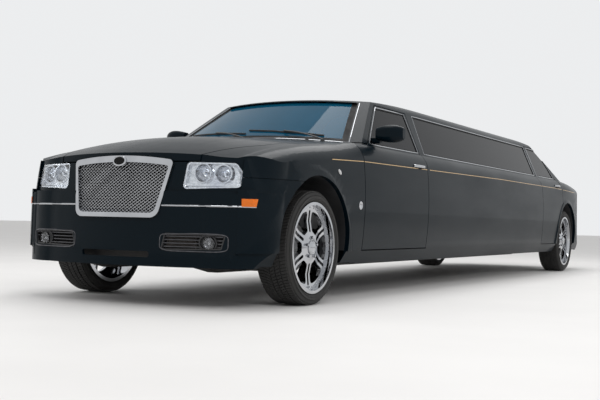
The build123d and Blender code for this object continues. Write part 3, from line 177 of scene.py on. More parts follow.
def dull_surface(name, tints, roughness, scale, relief, depth, metallic=0.0, specular=0.5):
    """Moulded plastic, rubber, hide or cast metal with a grain in relief."""
    cloud = noise(scale, detail=5.0)
    return make_finish(name, tints, cloud, roughness, cloud, (relief, 0.35, depth), Metallic=metallic,
                       Specular_IOR_Level=specular)


def clear_pane(name, tint, transmission, ior=1.38):
    """Glass or clear plastic with a faint film on it."""
    film = noise(6.0, (1.0, 0.4, 1.0), 4.0)
    paler = tuple(min(1.0, part * 1.12 + 0.001) for part in tint)
    return make_finish(name, (tint, paler), film, (0.01, 0.04), film, Transmission_Weight=transmission,
                       IOR=ior)


def grained_wood(name, tints):
    """Lacquered veneer with long bands of grain."""
    grain = noise(9.0, (6.0, 0.5, 6.0), 6.0)
    return make_finish(name, tints, grain, (0.18, 0.3), grain, (grain, 0.08, 0.0004), Coat_Weight=0.7)


def make_finishes(paint):
    """All finishes by name."""
    fine = {"detail": 3.0}
    return {
        "paint": deep_gloss("black_paint", (paint.dark, paint.light), paint.coat, paint.coat_roughness),
        "stripe": deep_gloss("stripe_gold", ((0.42, 0.27, 0.12), (0.60, 0.42, 0.22)), 0.6, 0.05),
        "chrome": bright_metal("chrome_plate", ((0.44, 0.45, 0.47), (0.52, 0.53, 0.55)), (0.03, 0.07), 9.0,
                               bump=0.01),
        "reflector": bright_metal("lamp_housing", ((0.55, 0.57, 0.60), (0.78, 0.80, 0.84)), (0.12, 0.22),
                                  60.0),
        "smoked": bright_metal("smoked_chrome", ((0.07, 0.07, 0.075), (0.13, 0.13, 0.14)), (0.12, 0.25)),
        "mirror": bright_metal("mirror_glass", ((0.60, 0.62, 0.66), (0.66, 0.68, 0.72)), (0.01, 0.03), 8.0),
        "disc": bright_metal("brake_disc", ((0.30, 0.29, 0.28), (0.55, 0.55, 0.55)), (0.25, 0.45), 30.0,
                             (1.0, 6.0, 6.0)),
        "tinted": clear_pane("tinted_glass", (0.005, 0.006, 0.008), 0.35, 1.13),
        "windshield": clear_pane("windshield_glass", (0.003, 0.078, 0.145), 0.40, 1.17),
        "clear": clear_pane("lamp_lens", (0.88, 0.90, 0.93), 0.98),
        "red": clear_pane("red_lens", (0.40, 0.008, 0.01), 0.5),
        "amber": clear_pane("amber_lens", (0.85, 0.20, 0.01), 0.4),
        "white_lens": clear_pane("white_lens", (0.80, 0.80, 0.80), 0.5),
        "plastic": dull_surface("black_plastic", ((0.012, 0.012, 0.013), (0.022, 0.022, 0.024)), (0.42, 0.6),
                                5.0, noise(700.0, **fine), 0.0004),
        "seal": dull_surface("seal_rubber", ((0.004, 0.004, 0.004), (0.008, 0.008, 0.008)), (0.5, 0.7), 9.0,
                             noise(500.0, **fine), 0.0003, specular=0.12),
        "steel": dull_surface("frame_steel", ((0.03, 0.03, 0.032), (0.06, 0.057, 0.054)), (0.4, 0.7), 9.0,
                              noise(220.0, **fine), 0.0006, metallic=0.5),
        "iron": dull_surface("bare_iron", ((0.10, 0.09, 0.085), (0.20, 0.18, 0.17)), (0.5, 0.8), 14.0,
                             noise(160.0, **fine), 0.001, metallic=0.7),
        "rubber": dull_surface("tyre_rubber", ((0.012, 0.012, 0.012), (0.026, 0.025, 0.024)), (0.6, 0.85),
                               7.0, noise(380.0, **fine), 0.0006),
        "cabin": dull_surface("cabin_plastic", ((0.03, 0.03, 0.032), (0.05, 0.05, 0.053)), (0.45, 0.65), 8.0,
                              cells(500.0), 0.0006),
        "leather": dull_surface("black_leather", ((0.018, 0.016, 0.015), (0.040, 0.036, 0.034)), (0.32, 0.5),
                                10.0, cells(260.0), 0.0012),
        "wood": grained_wood("bar_wood", ((0.05, 0.016, 0.006), (0.17, 0.065, 0.022))),
    }


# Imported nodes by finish, a pair by its name without the side
NODE_FINISH = {
    "paint": ["roof", "hood", "trunk_lid", "cowl", "front_bumper", "rear_bumper", "rear_deck", "side_panel",
              "fender", "rear_quarter", "front_door", "rear_door", "mirror"],
    "chrome": ["grille_frame", "grille_mesh", "front_rim", "rear_rim"],
    "tinted": ["rear_window", "front_door_glass", "rear_door_glass", "long_window"],
    "windshield": ["windshield"],
    "clear": ["headlights"],
    "reflector": ["headlight_bowls"],
    "red": ["taillights"],
    "plastic": ["fog_vents", "wheel_liners"],
    "steel": ["underbody", "chassis_frame", "fuel_tank"],
    "iron": ["engine", "front_suspension", "rear_axle", "driveline"],
    "disc": ["knuckle"],
    "rubber": ["front_tyre", "rear_tyre"],
    "cabin": ["dashboard", "steering_wheel", "partition"],
    "leather": ["front_seats", "lounge_seats"],
    "wood": ["bar_cabinet"],
}


def nodes_of(finish):
    """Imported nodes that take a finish."""
    names = [name for stem in NODE_FINISH[finish] for name in (stem, f"{stem}_left", f"{stem}_right")]
    return [name for name in names if name in NODES]


# Shared shapes

def mark_sharp(mesh, angle):
    """Shades edges that turn by more than an angle in degrees as sharp."""
    for edge in mesh.edges:
        edge.smooth = not (len(edge.link_faces) == 2 and edge.calc_face_angle(0.0) > math.radians(angle))


def add_object(name, mesh, material):
    """Object from a bmesh, linked into the scene at the origin."""
    data = bpy.data.meshes.new(name)
    mesh.to_mesh(data)
    mesh.free()
    data.materials.append(material)
    item = bpy.data.objects.new(name, data)
    bpy.context.scene.collection.objects.link(item)
    return item


def add_piece(name, mesh, finish, body, sharp=35.0):
    """A finished piece that rides on a body, its edges sharp above an angle in degrees."""
    bmesh.ops.recalc_face_normals(mesh, faces=mesh.faces)
    mark_sharp(mesh, sharp)
    item = add_object(name, mesh, finishes[finish])
    item.data.shade_smooth()
    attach(item, body)
    return item


def met(nodes, start, direction):
    """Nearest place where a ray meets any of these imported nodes, and the outward normal there, or None."""
    start, heading = Vector(start), Vector(direction).normalized()
    best = None
    for node in nodes:
        hit, place, normal, _ = NODES[node].ray_cast(start, heading)
        if hit and (best is None or (place - start).length < best[2]):
            best = (place, normal if normal.dot(heading) < 0 else -normal, (place - start).length)
    return best and best[:2]


def touch(nodes, start, direction):
    """The place that a ray must meet, and the outward normal there."""
    found = met(nodes, start, direction)
    if found is None:
        raise RuntimeError(f"no surface of {nodes} from {tuple(start)}")
    return found


def from_side(sign, y, z):
    """Start and direction of a ray at the car's side."""
    return (sign * 1.3, y, z), (-sign, 0.0, 0.0)


def from_ahead(x, z):
    """Start and direction of a ray at the car's front."""
    return (x, CAD_BOX[0][1] - 0.4, z), (0, 1, 0)


def from_behind(x, z):
    """Start and direction of a ray at the car's tail."""
    return (x, CAD_BOX[1][1] + 0.6, z), (0, -1, 0)


def shares(count):
    """Evenly spaced numbers from 0 to 1."""
    return [number / (count - 1) for number in range(count)]


def turns(count, start=0.0):
    """Evenly spaced angles of a full turn, the first at start pitches."""
    return [math.tau * (number + start) / count for number in range(count)]


def swept(path, section, closed=False):
    """Sweeps a section of (across, outwards) corners in metres along a path of (place, normal)."""
    mesh = bmesh.new()
    count = len(path)
    rings = []
    for index, (place, normal) in enumerate(path):
        before = path[index - 1][0] if index > 0 or closed else place
        after = path[(index + 1) % count][0] if index < count - 1 or closed else place
        along = (after - before).normalized()
        outward = (normal - along * normal.dot(along)).normalized()
        across = along.cross(outward)
        rings.append([place + across * a + outward * b for a, b in section])
    verts = [mesh.verts.new(corner) for corner in rings[0]]
    edges = [mesh.edges.new((verts[i], verts[(i + 1) % len(verts)])) for i in range(len(verts))]
    start_edges = edges
    for ring in rings[1:]:
        made = bmesh.ops.extrude_edge_only(mesh, edges=edges)["geom"]
        fresh = {item for item in made if isinstance(item, bmesh.types.BMVert)}
        verts = [next(edge.other_vert(vert) for edge in vert.link_edges if edge.other_vert(vert) in fresh)
                 for vert in verts]
        for vert, corner in zip(verts, ring):
            vert.co = corner
        edges = [mesh.edges.get((verts[i], verts[(i + 1) % len(verts)])) for i in range(len(verts))]
    if closed:
        bmesh.ops.bridge_loops(mesh, edges=start_edges + edges)
    else:
        bmesh.ops.edgeloop_fill(mesh, edges=start_edges)
        bmesh.ops.edgeloop_fill(mesh, edges=edges)
    return mesh


def rounded_bar(width, height, base=0.0):
    """Half-round section that stands on a surface: width across, height outwards."""
    half = width / 2
    return [(-half, -base), (-half, 0.4 * height), (-0.55 * half, 0.9 * height), (0.0, height),
            (0.55 * half, 0.9 * height), (half, 0.4 * height), (half, -base)]


def flat_bar(width, height, base):
    """Flat strip section with its edges sunk by base."""
    half = width / 2
    return [(-half, -base), (-half, height), (half, height), (half, -base)]


def round_bar(across, outwards, count=8):
    """Round or oval section about the path."""
    return [(across * math.cos(turn), outwards * math.sin(turn)) for turn in turns(count)]


def disc(outline, place, axis, segments, stretch=EVEN):
    """Turned shape about an axis through place, from (radius, along) corners, then stretched about place."""
    mesh = bmesh.new()
    profile = [mesh.verts.new((radius, 0.0, along)) for radius, along in outline]
    edges = [mesh.edges.new(pair) for pair in zip(profile, profile[1:])]
    bmesh.ops.spin(mesh, geom=profile + edges, cent=(0, 0, 0), axis=(0, 0, 1), angle=math.tau, steps=segments,
                   use_merge=True)
    bmesh.ops.remove_doubles(mesh, verts=mesh.verts, dist=1e-5)
    place = Vector(place)
    turn = Vector((0, 0, 1)).rotation_difference(Vector(axis)).to_matrix().to_4x4()
    bmesh.ops.transform(mesh, matrix=Matrix.Translation(place) @ turn, verts=mesh.verts)
    bmesh.ops.scale(mesh, vec=stretch, space=Matrix.Translation(-place), verts=mesh.verts)
    return mesh


def joined(parts):
    """One bmesh from several, each freed."""
    whole = bmesh.new()
    for part in parts:
        data = bpy.data.meshes.new("part")
        part.to_mesh(data)
        part.free()
        whole.from_mesh(data)
        bpy.data.meshes.remove(data)
    return whole


def soft_box(low, high, round_by, segments=3):
    """Box between two corners with rounded edges."""
    low, high = Vector(low), Vector(high)
    mesh = bmesh.new()
    bmesh.ops.create_cube(mesh, size=1.0)
    bmesh.ops.scale(mesh, vec=high - low, verts=mesh.verts)
    bmesh.ops.translate(mesh, vec=(low + high) / 2, verts=mesh.verts)
    bmesh.ops.bevel(mesh, geom=mesh.edges, offset=round_by, segments=segments, profile=0.5, affect="EDGES",
                    clamp_overlap=True, material=-1)
    return mesh


def thickened(mesh, by):
    """Gives a sheet a thickness by a vector."""
    made = bmesh.ops.extrude_face_region(mesh, geom=mesh.faces[:])["geom"]
    moved = [item for item in made if isinstance(item, bmesh.types.BMVert)]
    bmesh.ops.translate(mesh, vec=by, verts=moved)
    return mesh


# Panels

class LimoPanels(bpy.types.Operator):
    """Painted panels with softened edges and even shading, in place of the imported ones"""
    bl_idname = "limousine.panels"
    bl_label = "Painted panels"

    def execute(self, context):
        for node in nodes_of("paint"):
            mesh = bmesh.new()
            mesh.from_mesh(NODES[node].data)
            bmesh.ops.remove_doubles(mesh, verts=mesh.verts, dist=2e-5)
            bmesh.ops.dissolve_limit(mesh, angle_limit=math.radians(0.4), verts=mesh.verts, edges=mesh.edges)
            mark_sharp(mesh, 24.0)
            panel = add_object(f"panel_{node}", mesh, finishes["paint"])
            panel.data.polygons.foreach_set("use_smooth", [True] * len(panel.data.polygons))
            soften = panel.modifiers.new("Edges", "BEVEL")
            soften.width = context.scene.limo_paint.edge
            soften.segments = 2
            soften.limit_method = "ANGLE"
            soften.angle_limit = math.radians(40.0)
            soften.use_clamp_overlap = True
            soften.harden_normals = False
            even = panel.modifiers.new("Shading", "WEIGHTED_NORMAL")
            even.keep_sharp = True
            even.weight = 80
            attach(panel, BODY_OF[node])
            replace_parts(panel, node)
        return {"FINISHED"}


# Tyres and wheels

# Tyre section in metres: half its width, its bead's radius, and the width that the rows of blocks share
TYRE_HALF = 0.1225
BEAD = 0.298
TREAD = 0.186
# Tread blocks: gaps across and along, height, softened edge, and how far below the tread their middles lie
GAP_ACROSS, GAP_ALONG = 0.005, 0.0045
BLOCK_HEIGHT, BLOCK_EDGE, BLOCK_SINK = 0.014, 0.0014, 0.0073
# Extra width, drop and slant of the blocks on the shoulders and between them
SHOULDER_BLOCK, INNER_BLOCK = (0.010, 0.0035, 0.22), (0.0, 0.0, 0.5)

# Rings on each wall: radius, place across, size
WALL_RINGS = (
    (BEAD + 0.012, 0.1200, 0.0022),
    (TYRE_RADIUS - 0.040, 0.1180, 0.0012),
    (BEAD + 0.034, 0.1208, 0.0012),
)


def spun_loop(mesh, outline):
    """Spins a closed outline of (across, radius) corners round the wheel's axis."""
    verts = [mesh.verts.new((across, 0.0, radius)) for across, radius in outline]
    edges = [mesh.edges.new((verts[i], verts[(i + 1) % len(verts)])) for i in range(len(verts))]
    bmesh.ops.spin(mesh, geom=verts + edges, cent=(0, 0, 0), axis=(1, 0, 0), angle=math.tau, steps=96,
                   use_merge=True)
    bmesh.ops.remove_doubles(mesh, verts=mesh.verts, dist=1e-5)


def tread_block(number, ribs, pitch):
    """Slanted tread block; shoulder rows are wider and lower, every second row stands half a pitch on."""
    width = TREAD / ribs
    middle = width * (number + 0.5) - TREAD / 2
    wider, drop, slant = SHOULDER_BLOCK if number in (0, ribs - 1) else INNER_BLOCK
    block = bmesh.new()
    bmesh.ops.create_cube(block, size=1.0)
    size = (width - GAP_ACROSS + wider, pitch * TYRE_RADIUS - GAP_ALONG, BLOCK_HEIGHT)
    bmesh.ops.scale(block, vec=size, verts=block.verts)
    for vert in block.verts:
        vert.co.y += vert.co.x * math.copysign(slant, middle)
    top = [edge for edge in block.edges if all(vert.co.z > 0 for vert in edge.verts)]
    bmesh.ops.bevel(block, geom=top, offset=BLOCK_EDGE, segments=1, profile=0.5, affect="EDGES", material=-1)
    place = (middle + math.copysign(wider / 2, middle), 0.0, TYRE_RADIUS - BLOCK_SINK - drop)
    bmesh.ops.translate(block, vec=place, verts=block.verts)
    turn = Matrix.Rotation(pitch * 0.5 * (number % 2), 3, "X")
    bmesh.ops.rotate(block, cent=(0, 0, 0), matrix=turn, verts=block.verts)
    return block


def tyre_mesh(settings):
    """Carcass with grooves round it, tread blocks, and a rim protector with two fine rings on each wall."""
    wall = [(-0.103, BEAD - 0.006), (-0.118, BEAD + 0.006), (-TYRE_HALF, BEAD + 0.030),
            (0.006 - TYRE_HALF, TYRE_RADIUS - 0.032), (0.014 - TYRE_HALF, TYRE_RADIUS - 0.016),
            (0.026 - TYRE_HALF, TYRE_RADIUS - 0.010)]
    crown = [(across, TYRE_RADIUS - 0.009) for across in (-0.05, 0.0, 0.05)]
    carcass = bmesh.new()
    spun_loop(carcass, wall + crown + [(-a, r) for a, r in reversed(wall)] + [(0.0, BEAD - 0.006)])
    pitch = math.tau / settings.tread_pitches
    blocks = joined([tread_block(row, settings.tread_ribs, pitch) for row in range(settings.tread_ribs)])
    bmesh.ops.spin(blocks, geom=blocks.verts[:] + blocks.edges[:] + blocks.faces[:], cent=(0, 0, 0),
                   axis=(1, 0, 0), angle=math.tau - pitch, steps=settings.tread_pitches - 1,
                   use_duplicate=True)
    rings = bmesh.new()
    for sign in (-1, 1):
        for radius, across, size in WALL_RINGS:
            spun_loop(rings, [(sign * (across + a), radius + r) for a, r in round_bar(size, size, 3)])
    return joined([carcass, blocks, rings])


class LimoTyres(bpy.types.Operator):
    """Treaded tyres in place of the plain ones"""
    bl_idname = "limousine.tyres"
    bl_label = "Tyres"

    def execute(self, context):
        for end, axle in AXLES:
            for side, sign in SIDES:
                mesh = tyre_mesh(context.scene.limo_wheels)
                bmesh.ops.translate(mesh, vec=(sign * axle.x, axle.y, axle.z), verts=mesh.verts)
                tyre = add_piece(f"tyre_{end}_{side}", mesh, "rubber", f"{end}_wheel_{side}", sharp=28.0)
                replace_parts(tyre, f"{end}_tyre_{side}")
        return {"FINISHED"}


# Outlines of the wheels' fittings: (radius, how far outwards)
RIVET = [(0.0, -0.004), (0.0052, -0.004), (0.0052, 0.0018), (0.0036, 0.0042), (0.0, 0.0050)]
LUG_NUT = [(0.0, -0.004), (0.0105, -0.004), (0.0105, 0.010), (0.0085, 0.016), (0.0, 0.018)]
CENTRE_CAP = [(0.0, -0.002), (0.046, -0.002), (0.046, 0.006), (0.041, 0.0125), (0.034, 0.0145),
              (0.031, 0.0125), (0.015, 0.0145), (0.0, 0.0152)]
VALVE = [(0.0, 0.0), (0.0045, 0.0), (0.0040, 0.022), (0.0030, 0.028), (0.0, 0.028)]
# How far outwards the cap and the valve stand, and how far below the axle the valve is
CAP_OUT, VALVE_OUT, VALVE_BELOW = 0.092, 0.062, 0.248


class LimoWheels(bpy.types.Operator):
    """Lip rivets, lug nuts, centre caps and valves on the rims"""
    bl_idname = "limousine.wheels"
    bl_label = "Wheel fittings"

    def execute(self, context):
        settings = context.scene.limo_wheels
        # How many, pitches to the first, radius of their circle, how far outwards, outline, sides
        circles = (
            (settings.rivets, 0.5, 0.256, 0.0765, RIVET, 8),
            (settings.lug_nuts, 0.25, 0.064, 0.088, LUG_NUT, 6),
        )
        for end, axle in AXLES:
            for side, sign in SIDES:
                centre = Vector((sign * axle.x, axle.y, axle.z))
                out = Vector((sign, 0, 0))
                parts = []
                for count, start, radius, depth, outline, sides in circles:
                    for turn in turns(count, start):
                        spot = Vector((0.0, math.cos(turn), math.sin(turn))) * radius
                        parts.append(disc(outline, centre + out * depth + spot, out, sides))
                parts.append(disc(CENTRE_CAP, centre + out * CAP_OUT, out, 40))
                foot = centre + out * VALVE_OUT - Vector((0.0, 0.0, VALVE_BELOW))
                parts.append(disc(VALVE, foot, out, 10))
                add_piece(f"wheel_fittings_{end}_{side}", joined(parts), "chrome", f"{end}_wheel_{side}",
                          sharp=30.0)
        return {"FINISHED"}


# Nose

# The grille's opening: lower and upper edge, crown of the upper edge, half widths at both edges
GRILLE = {"low": 0.560, "high": 0.842, "crown": 0.864, "low_half": 0.282, "high_half": 0.345}
# Its plane: lean from upright, radius of its bow, and how far behind the nose it starts, at its foot's height
GRILLE_LEAN = math.radians(9.2)
GRILLE_BOW = 2.049
GRILLE_SETBACK, GRILLE_FOOT = 0.0155, 0.540
# How far behind its face the weave and the dark screen lie, and how far wires reach into the groove
WEAVE_INSET, SCREEN_INSET, GROOVE = 0.0105, 0.024, 0.001
# Half the width, the width and the height that the wires are laid over before they are cut to the opening
HALF_REACH, WIDTH_REACH, HEIGHT_REACH = 0.36, 0.70, 0.32
# The weave's swing to each side, as a share of a wire's thickness
SWING = 0.25
# The screen: its middle's height, its own height, and its gap at each end
SCREEN_MIDDLE, SCREEN_HEIGHT, SCREEN_GAP = 0.700, 0.285, 0.002


def grille_surface(x, z, inset):
    """Place on the leaning, bowed plane of the grille, inset metres behind its outer face."""
    front = CAD_BOX[0][1] + GRILLE_SETBACK + (z - GRILLE_FOOT) * math.tan(GRILLE_LEAN) + inset
    return Vector((x, front + GRILLE_BOW - math.sqrt(GRILLE_BOW**2 - x * x), z))


def grille_half(z):
    """Half width of the grille's opening at a height."""
    share = (z - GRILLE["low"]) / (GRILLE["high"] - GRILLE["low"])
    return GRILLE["low_half"] + share * (GRILLE["high_half"] - GRILLE["low_half"])


def in_grille(x, z):
    """Whether a wire at this place lies in the opening or just in its groove."""
    crown = GRILLE["high"] + (GRILLE["crown"] - GRILLE["high"]) * (1 - (x / GRILLE["high_half"]) ** 2)
    return GRILLE["low"] - GROOVE <= z <= crown + GROOVE and abs(x) <= grille_half(z) + GROOVE


def wire_runs(settings):
    """Places along each wire of the weave, which passes over and under the wires that it crosses by turns."""
    pitch, wire = settings.diamond_width, settings.wire
    slope = settings.diamond_height / pitch
    middle = (GRILLE["low"] + GRILLE["crown"]) / 2
    step = pitch / 8
    columns = int(HALF_REACH / step)
    reach = int((WIDTH_REACH + HEIGHT_REACH / slope) / pitch) + 2
    for toward in (-1, 1):
        for number in range(-reach, reach + 1):
            foot = number * pitch
            run = []
            for column in range(-columns, columns + 1):
                x = column * step
                z = middle + toward * slope * (x - foot)
                if in_grille(x, z):
                    weave = SWING * wire * toward * math.cos(math.tau * (x - foot) / pitch)
                    run.append(grille_surface(x, z, WEAVE_INSET + weave))
            if len(run) > 2:
                yield run


class LimoMesh(bpy.types.Operator):
    """Woven bright wires in place of the grille's plain lattice, with a dark screen behind"""
    bl_idname = "limousine.mesh"
    bl_label = "Woven grille"

    def execute(self, context):
        settings = context.scene.limo_nose
        curve = bpy.data.curves.new("grille_wires", "CURVE")
        curve.dimensions = "3D"
        curve.bevel_depth = settings.wire / 2
        curve.bevel_resolution = 1
        for run in wire_runs(settings):
            spline = curve.splines.new("POLY")
            spline.points.add(len(run) - 1)
            for point, place in zip(spline.points, run):
                point.co = (*place, 1.0)
        holder = bpy.data.objects.new("grille_wires", curve)
        context.scene.collection.objects.link(holder)
        context.view_layer.update()
        data = bpy.data.meshes.new_from_object(holder.evaluated_get(context.evaluated_depsgraph_get()))
        bpy.data.objects.remove(holder)
        wires = bmesh.new()
        wires.from_mesh(data)
        bpy.data.meshes.remove(data)
        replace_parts(add_piece("grille_weave", wires, "chrome", "body"), "grille_mesh")
        screen = bmesh.new()
        bmesh.ops.create_grid(screen, x_segments=24, y_segments=10, size=0.5)
        for vert in screen.verts:
            z = SCREEN_MIDDLE + vert.co.y * SCREEN_HEIGHT
            vert.co = grille_surface(vert.co.x * 2 * (grille_half(z) - SCREEN_GAP), z, SCREEN_INSET)
        add_piece("grille_screen", thickened(screen, (0, 0.003, 0)), "seal", "body")
        return {"FINISHED"}


# Outlines of the nose's round fittings: (radius, how far outwards)
BADGE_BASE = [(0.0, -0.004), (0.034, -0.004), (0.034, 0.004), (0.030, 0.008), (0.026, 0.0065), (0.0, 0.0065)]
BADGE_FACE = [(0.0, -0.001), (0.0255, -0.001), (0.0255, 0.0006), (0.0, 0.0014)]
# The badge: its stretch, its height, and how far its face stands out
BADGE_STRETCH, BADGE_Z, BADGE_FACE_OUT = (1.55, 1.0, 0.95), 0.870, 0.0066
FOG_LAMP = {
    "reflector": ("smoked", 36, [(0.0, 0.001), (0.020, 0.003), (0.031, 0.009), (0.036, 0.0145),
                                 (0.037, 0.0145), (0.037, -0.002), (0.0, -0.002)]),
    "bezel": ("plastic", 40, [(0.038, -0.002), (0.049, -0.002), (0.049, 0.008), (0.044, 0.0115),
                              (0.038, 0.008), (0.038, -0.002)]),
    "lens": ("clear", 36, [(0.0, 0.0135), (0.036, 0.0135), (0.036, 0.0155), (0.020, 0.0185), (0.0, 0.0195)]),
    "bulb": ("white_lens", 14, [(0.0, 0.002), (0.006, 0.002), (0.006, 0.009), (0.0, 0.0125)]),
}
# The lamp's middle, and the clear space round it that the slats leave
LAMP_X, LAMP_Z, LAMP_SPACE = 0.620, 0.388, 0.050

# The vent's outline: middle, half width, half height, and how square its corners are
VENT_X, VENT_Z, VENT_HALF, VENT_HIGH, VENT_POWER = 0.527, 0.392, 0.207, 0.052, 0.35
# The slats' heights, and where rays probe them from the inner end outwards
SLATS = (0.366, 0.386, 0.406, 0.426)
SLAT_START, SLAT_STEP, SLAT_PROBES = 0.338, 0.012, 32

# Across the car, where the fairing over the flare's step starts and ends
FAIRING = (0.737, 0.784)
FAIRING_MIDDLE, FAIRING_HEIGHT, FAIRING_PROUD = 0.482, 0.400, 0.0006

# The corner's amber lens: middle and size as (across, height)
LENS_MIDDLE, LENS_SIZE = (0.828, 0.629), (0.058, 0.046)


def nose_surface(sign, x, z):
    """Place on the bumper's face, eased over the step where the flare starts, and its outward normal."""
    start, end = FAIRING
    if not start < x < end:
        return touch(["front_bumper"], *from_ahead(sign * x, z))
    inner, normal = touch(["front_bumper"], *from_ahead(sign * start, z))
    outer, _ = touch(["front_bumper"], *from_ahead(sign * end, z))
    share = (x - start) / (end - start)
    eased = share * share * (3.0 - 2.0 * share)
    return Vector((sign * x, inner.y + (outer.y - inner.y) * eased, z)), normal


def flare_fairing(sign):
    """Fairing over the flare's step: a grid on the eased face, given a thickness."""
    mesh = bmesh.new()
    bmesh.ops.create_grid(mesh, x_segments=10, y_segments=20, size=0.5)
    start, end = FAIRING
    for vert in mesh.verts:
        x = start + (vert.co.x + 0.5) * (end - start)
        z = FAIRING_MIDDLE + vert.co.y * FAIRING_HEIGHT
        place, _ = nose_surface(sign, min(max(x, start), end), z)
        vert.co = place - Vector((0.0, FAIRING_PROUD, 0.0))
    return thickened(mesh, (0.0, 0.003, 0.0))


def side_lens(sign):
    """Amber lens on the bumper's corner: a grid laid on its surface and given a thickness."""
    mesh = bmesh.new()
    bmesh.ops.create_grid(mesh, x_segments=14, y_segments=5, size=0.5)
    outward = Vector((sign * 0.71, -0.70, 0.0))
    for vert in mesh.verts:
        x, z = (LENS_MIDDLE[axis] + vert.co[axis] * LENS_SIZE[axis] for axis in (0, 1))
        vert.co = touch(["front_bumper"], *from_ahead(sign * x, z))[0] + outward * 0.0005
    return thickened(mesh, outward * 0.004)


def slat_mesh(sign):
    """Edges of the vent's slats, broken where the fog lamp stands."""
    bars = []
    for z in SLATS:
        run = []
        for column in range(SLAT_PROBES + 1):
            x = SLAT_START + SLAT_STEP * column
            clear = column < SLAT_PROBES and (x - LAMP_X) ** 2 + (z - LAMP_Z) ** 2 > LAMP_SPACE**2
            found = clear and met(["fog_vents"], *from_ahead(sign * x, z))
            if found:
                run.append(found)
                continue
            if len(run) > 2:
                bars.append(swept(run, flat_bar(0.0032, 0.0012, 0.001)))
            run = []
    return joined(bars)


def vent_outline(sign):
    """Places on the bumper round the vent's mouth."""
    outline = []
    for turn in turns(72):
        c, s = math.cos(turn), math.sin(turn)
        x = VENT_X + VENT_HALF * math.copysign(abs(c) ** VENT_POWER, c)
        z = VENT_Z + VENT_HIGH * math.copysign(abs(s) ** VENT_POWER, s)
        outline.append(met(["front_bumper"], *from_ahead(sign * x, z)))
    return [spot for spot in outline if spot and spot[1].y < -0.5]


class LimoNose(bpy.types.Operator):
    """Blank oval badge, bumper strips, markers, fairings, vents and fog lamps"""
    bl_idname = "limousine.nose"
    bl_label = "Nose fittings"

    def execute(self, context):
        settings = context.scene.limo_nose
        out = Vector((0.0, -math.cos(GRILLE_LEAN), math.sin(GRILLE_LEAN)))
        spot, _ = touch(["grille_frame"], *from_ahead(0.0, BADGE_Z))
        add_piece("nose_badge_blank", disc(BADGE_BASE, spot, out, 40, BADGE_STRETCH), "chrome", "body")
        face = disc(BADGE_FACE, spot + out * BADGE_FACE_OUT, out, 40)
        bmesh.ops.scale(face, vec=BADGE_STRETCH, space=Matrix.Translation(-spot), verts=face.verts)
        add_piece("nose_badge_face", face, "seal", "body")
        reach = settings.strip_end - settings.strip_start
        for side, sign in SIDES:
            path = [nose_surface(sign, settings.strip_start + share * reach, settings.strip_height)
                    for share in shares(41)]
            strip = swept(path, rounded_bar(0.009, 0.0040, 0.002))
            add_piece(f"bumper_strip_{side}", strip, "chrome", "body")
            add_piece(f"corner_marker_{side}", side_lens(sign), "amber", "body")
            add_piece(f"flare_fairing_{side}", flare_fairing(sign), "paint", "body")
            place, _ = touch(["fog_vents"], *from_ahead(sign * LAMP_X, LAMP_Z))
            facing = Vector((sign * 0.10, -0.995, 0.0)).normalized()
            for part, (finish, segments, outline) in FOG_LAMP.items():
                add_piece(f"fog_{part}_{side}", disc(outline, place, facing, segments), finish, "body")
            ring = swept(vent_outline(sign), rounded_bar(0.006, 0.0026, 0.001), closed=True)
            add_piece(f"vent_ring_{side}", ring, "smoked", "body")
            add_piece(f"vent_edges_{side}", slat_mesh(sign), "smoked", "body")
        return {"FINISHED"}


# Sides

# The painted line: (distance behind the front axle, height)
STRIPE = [(0.21, 0.939), (0.70, 0.955), (3.94, 0.984), (6.05, 0.984), (7.10, 0.965)]

# Outlines of the sides' round fittings: (radius, how far outwards)
HANDLE_CUP = [(0.0, -0.002), (0.030, -0.002), (0.030, 0.0008), (0.027, 0.0012), (0.018, 0.0003),
              (0.0, 0.0001)]
REPEATER = [(0.0, -0.001), (0.020, -0.001), (0.020, 0.002), (0.014, 0.0045), (0.0, 0.005)]
FENDER_BADGE = [(0.0, -0.001), (0.029, -0.001), (0.029, 0.002), (0.026, 0.0042), (0.022, 0.003), (0.0, 0.003)]

# Door handles: door, distance along the car, height
HANDLES = (("front", -1.6585, 0.982), ("rear", 2.80, 1.012))
HANDLE_LIFT = 0.022

# Places on the fender as (along the car, height), and the repeater's tilt
REPEATER_PLACE, BADGE_PLACE = (-3.106, 0.861), (FRONT_AXLE.y + 0.629, 0.648)
REPEATER_TILT = math.radians(-28.0)


def stripe_height(y):
    """Height of the painted line at a place along the car."""
    place = y - FRONT_AXLE.y
    for (a, low), (b, high) in zip(STRIPE, STRIPE[1:]):
        if place <= b:
            return low + (high - low) * max(0.0, place - a) / (b - a)
    return STRIPE[-1][1]


def body_strips(side):
    """(name, nodes, body, start, end) of each stretch of the painted line along a side."""
    door_start = corners(f"front_door_{side}")[0].y
    fender = [f"fender_{side}", "cowl", f"side_panel_{side}"]
    return [
        ("fender", fender, "body", FRONT_AXLE.y + 0.217, door_start - 0.010),
        ("front_door", [f"front_door_{side}"], f"front_door_{side}", door_start + 0.004, -1.497),
        ("cabin_side", [f"side_panel_{side}"], "body", -1.480, 2.062),
        ("rear_door", [f"rear_door_{side}"], f"rear_door_{side}", 2.076, 2.972),
        ("rear_quarter", [f"rear_quarter_{side}"], "body", 3.04, 3.72),
    ]


def handle_mesh(node, sign, y, z, length):
    """Bowed grip that stands on a door."""
    path = []
    for share in shares(19):
        foot, _ = touch([node], *from_side(sign, y + (share - 0.5) * length, z))
        lift = HANDLE_LIFT * (1 - abs(2 * share - 1) ** 3.0)
        path.append((foot + Vector((sign * lift, 0, 0)), Vector((sign, 0, 0))))
    return swept(path, round_bar(0.011, 0.0065, 10))


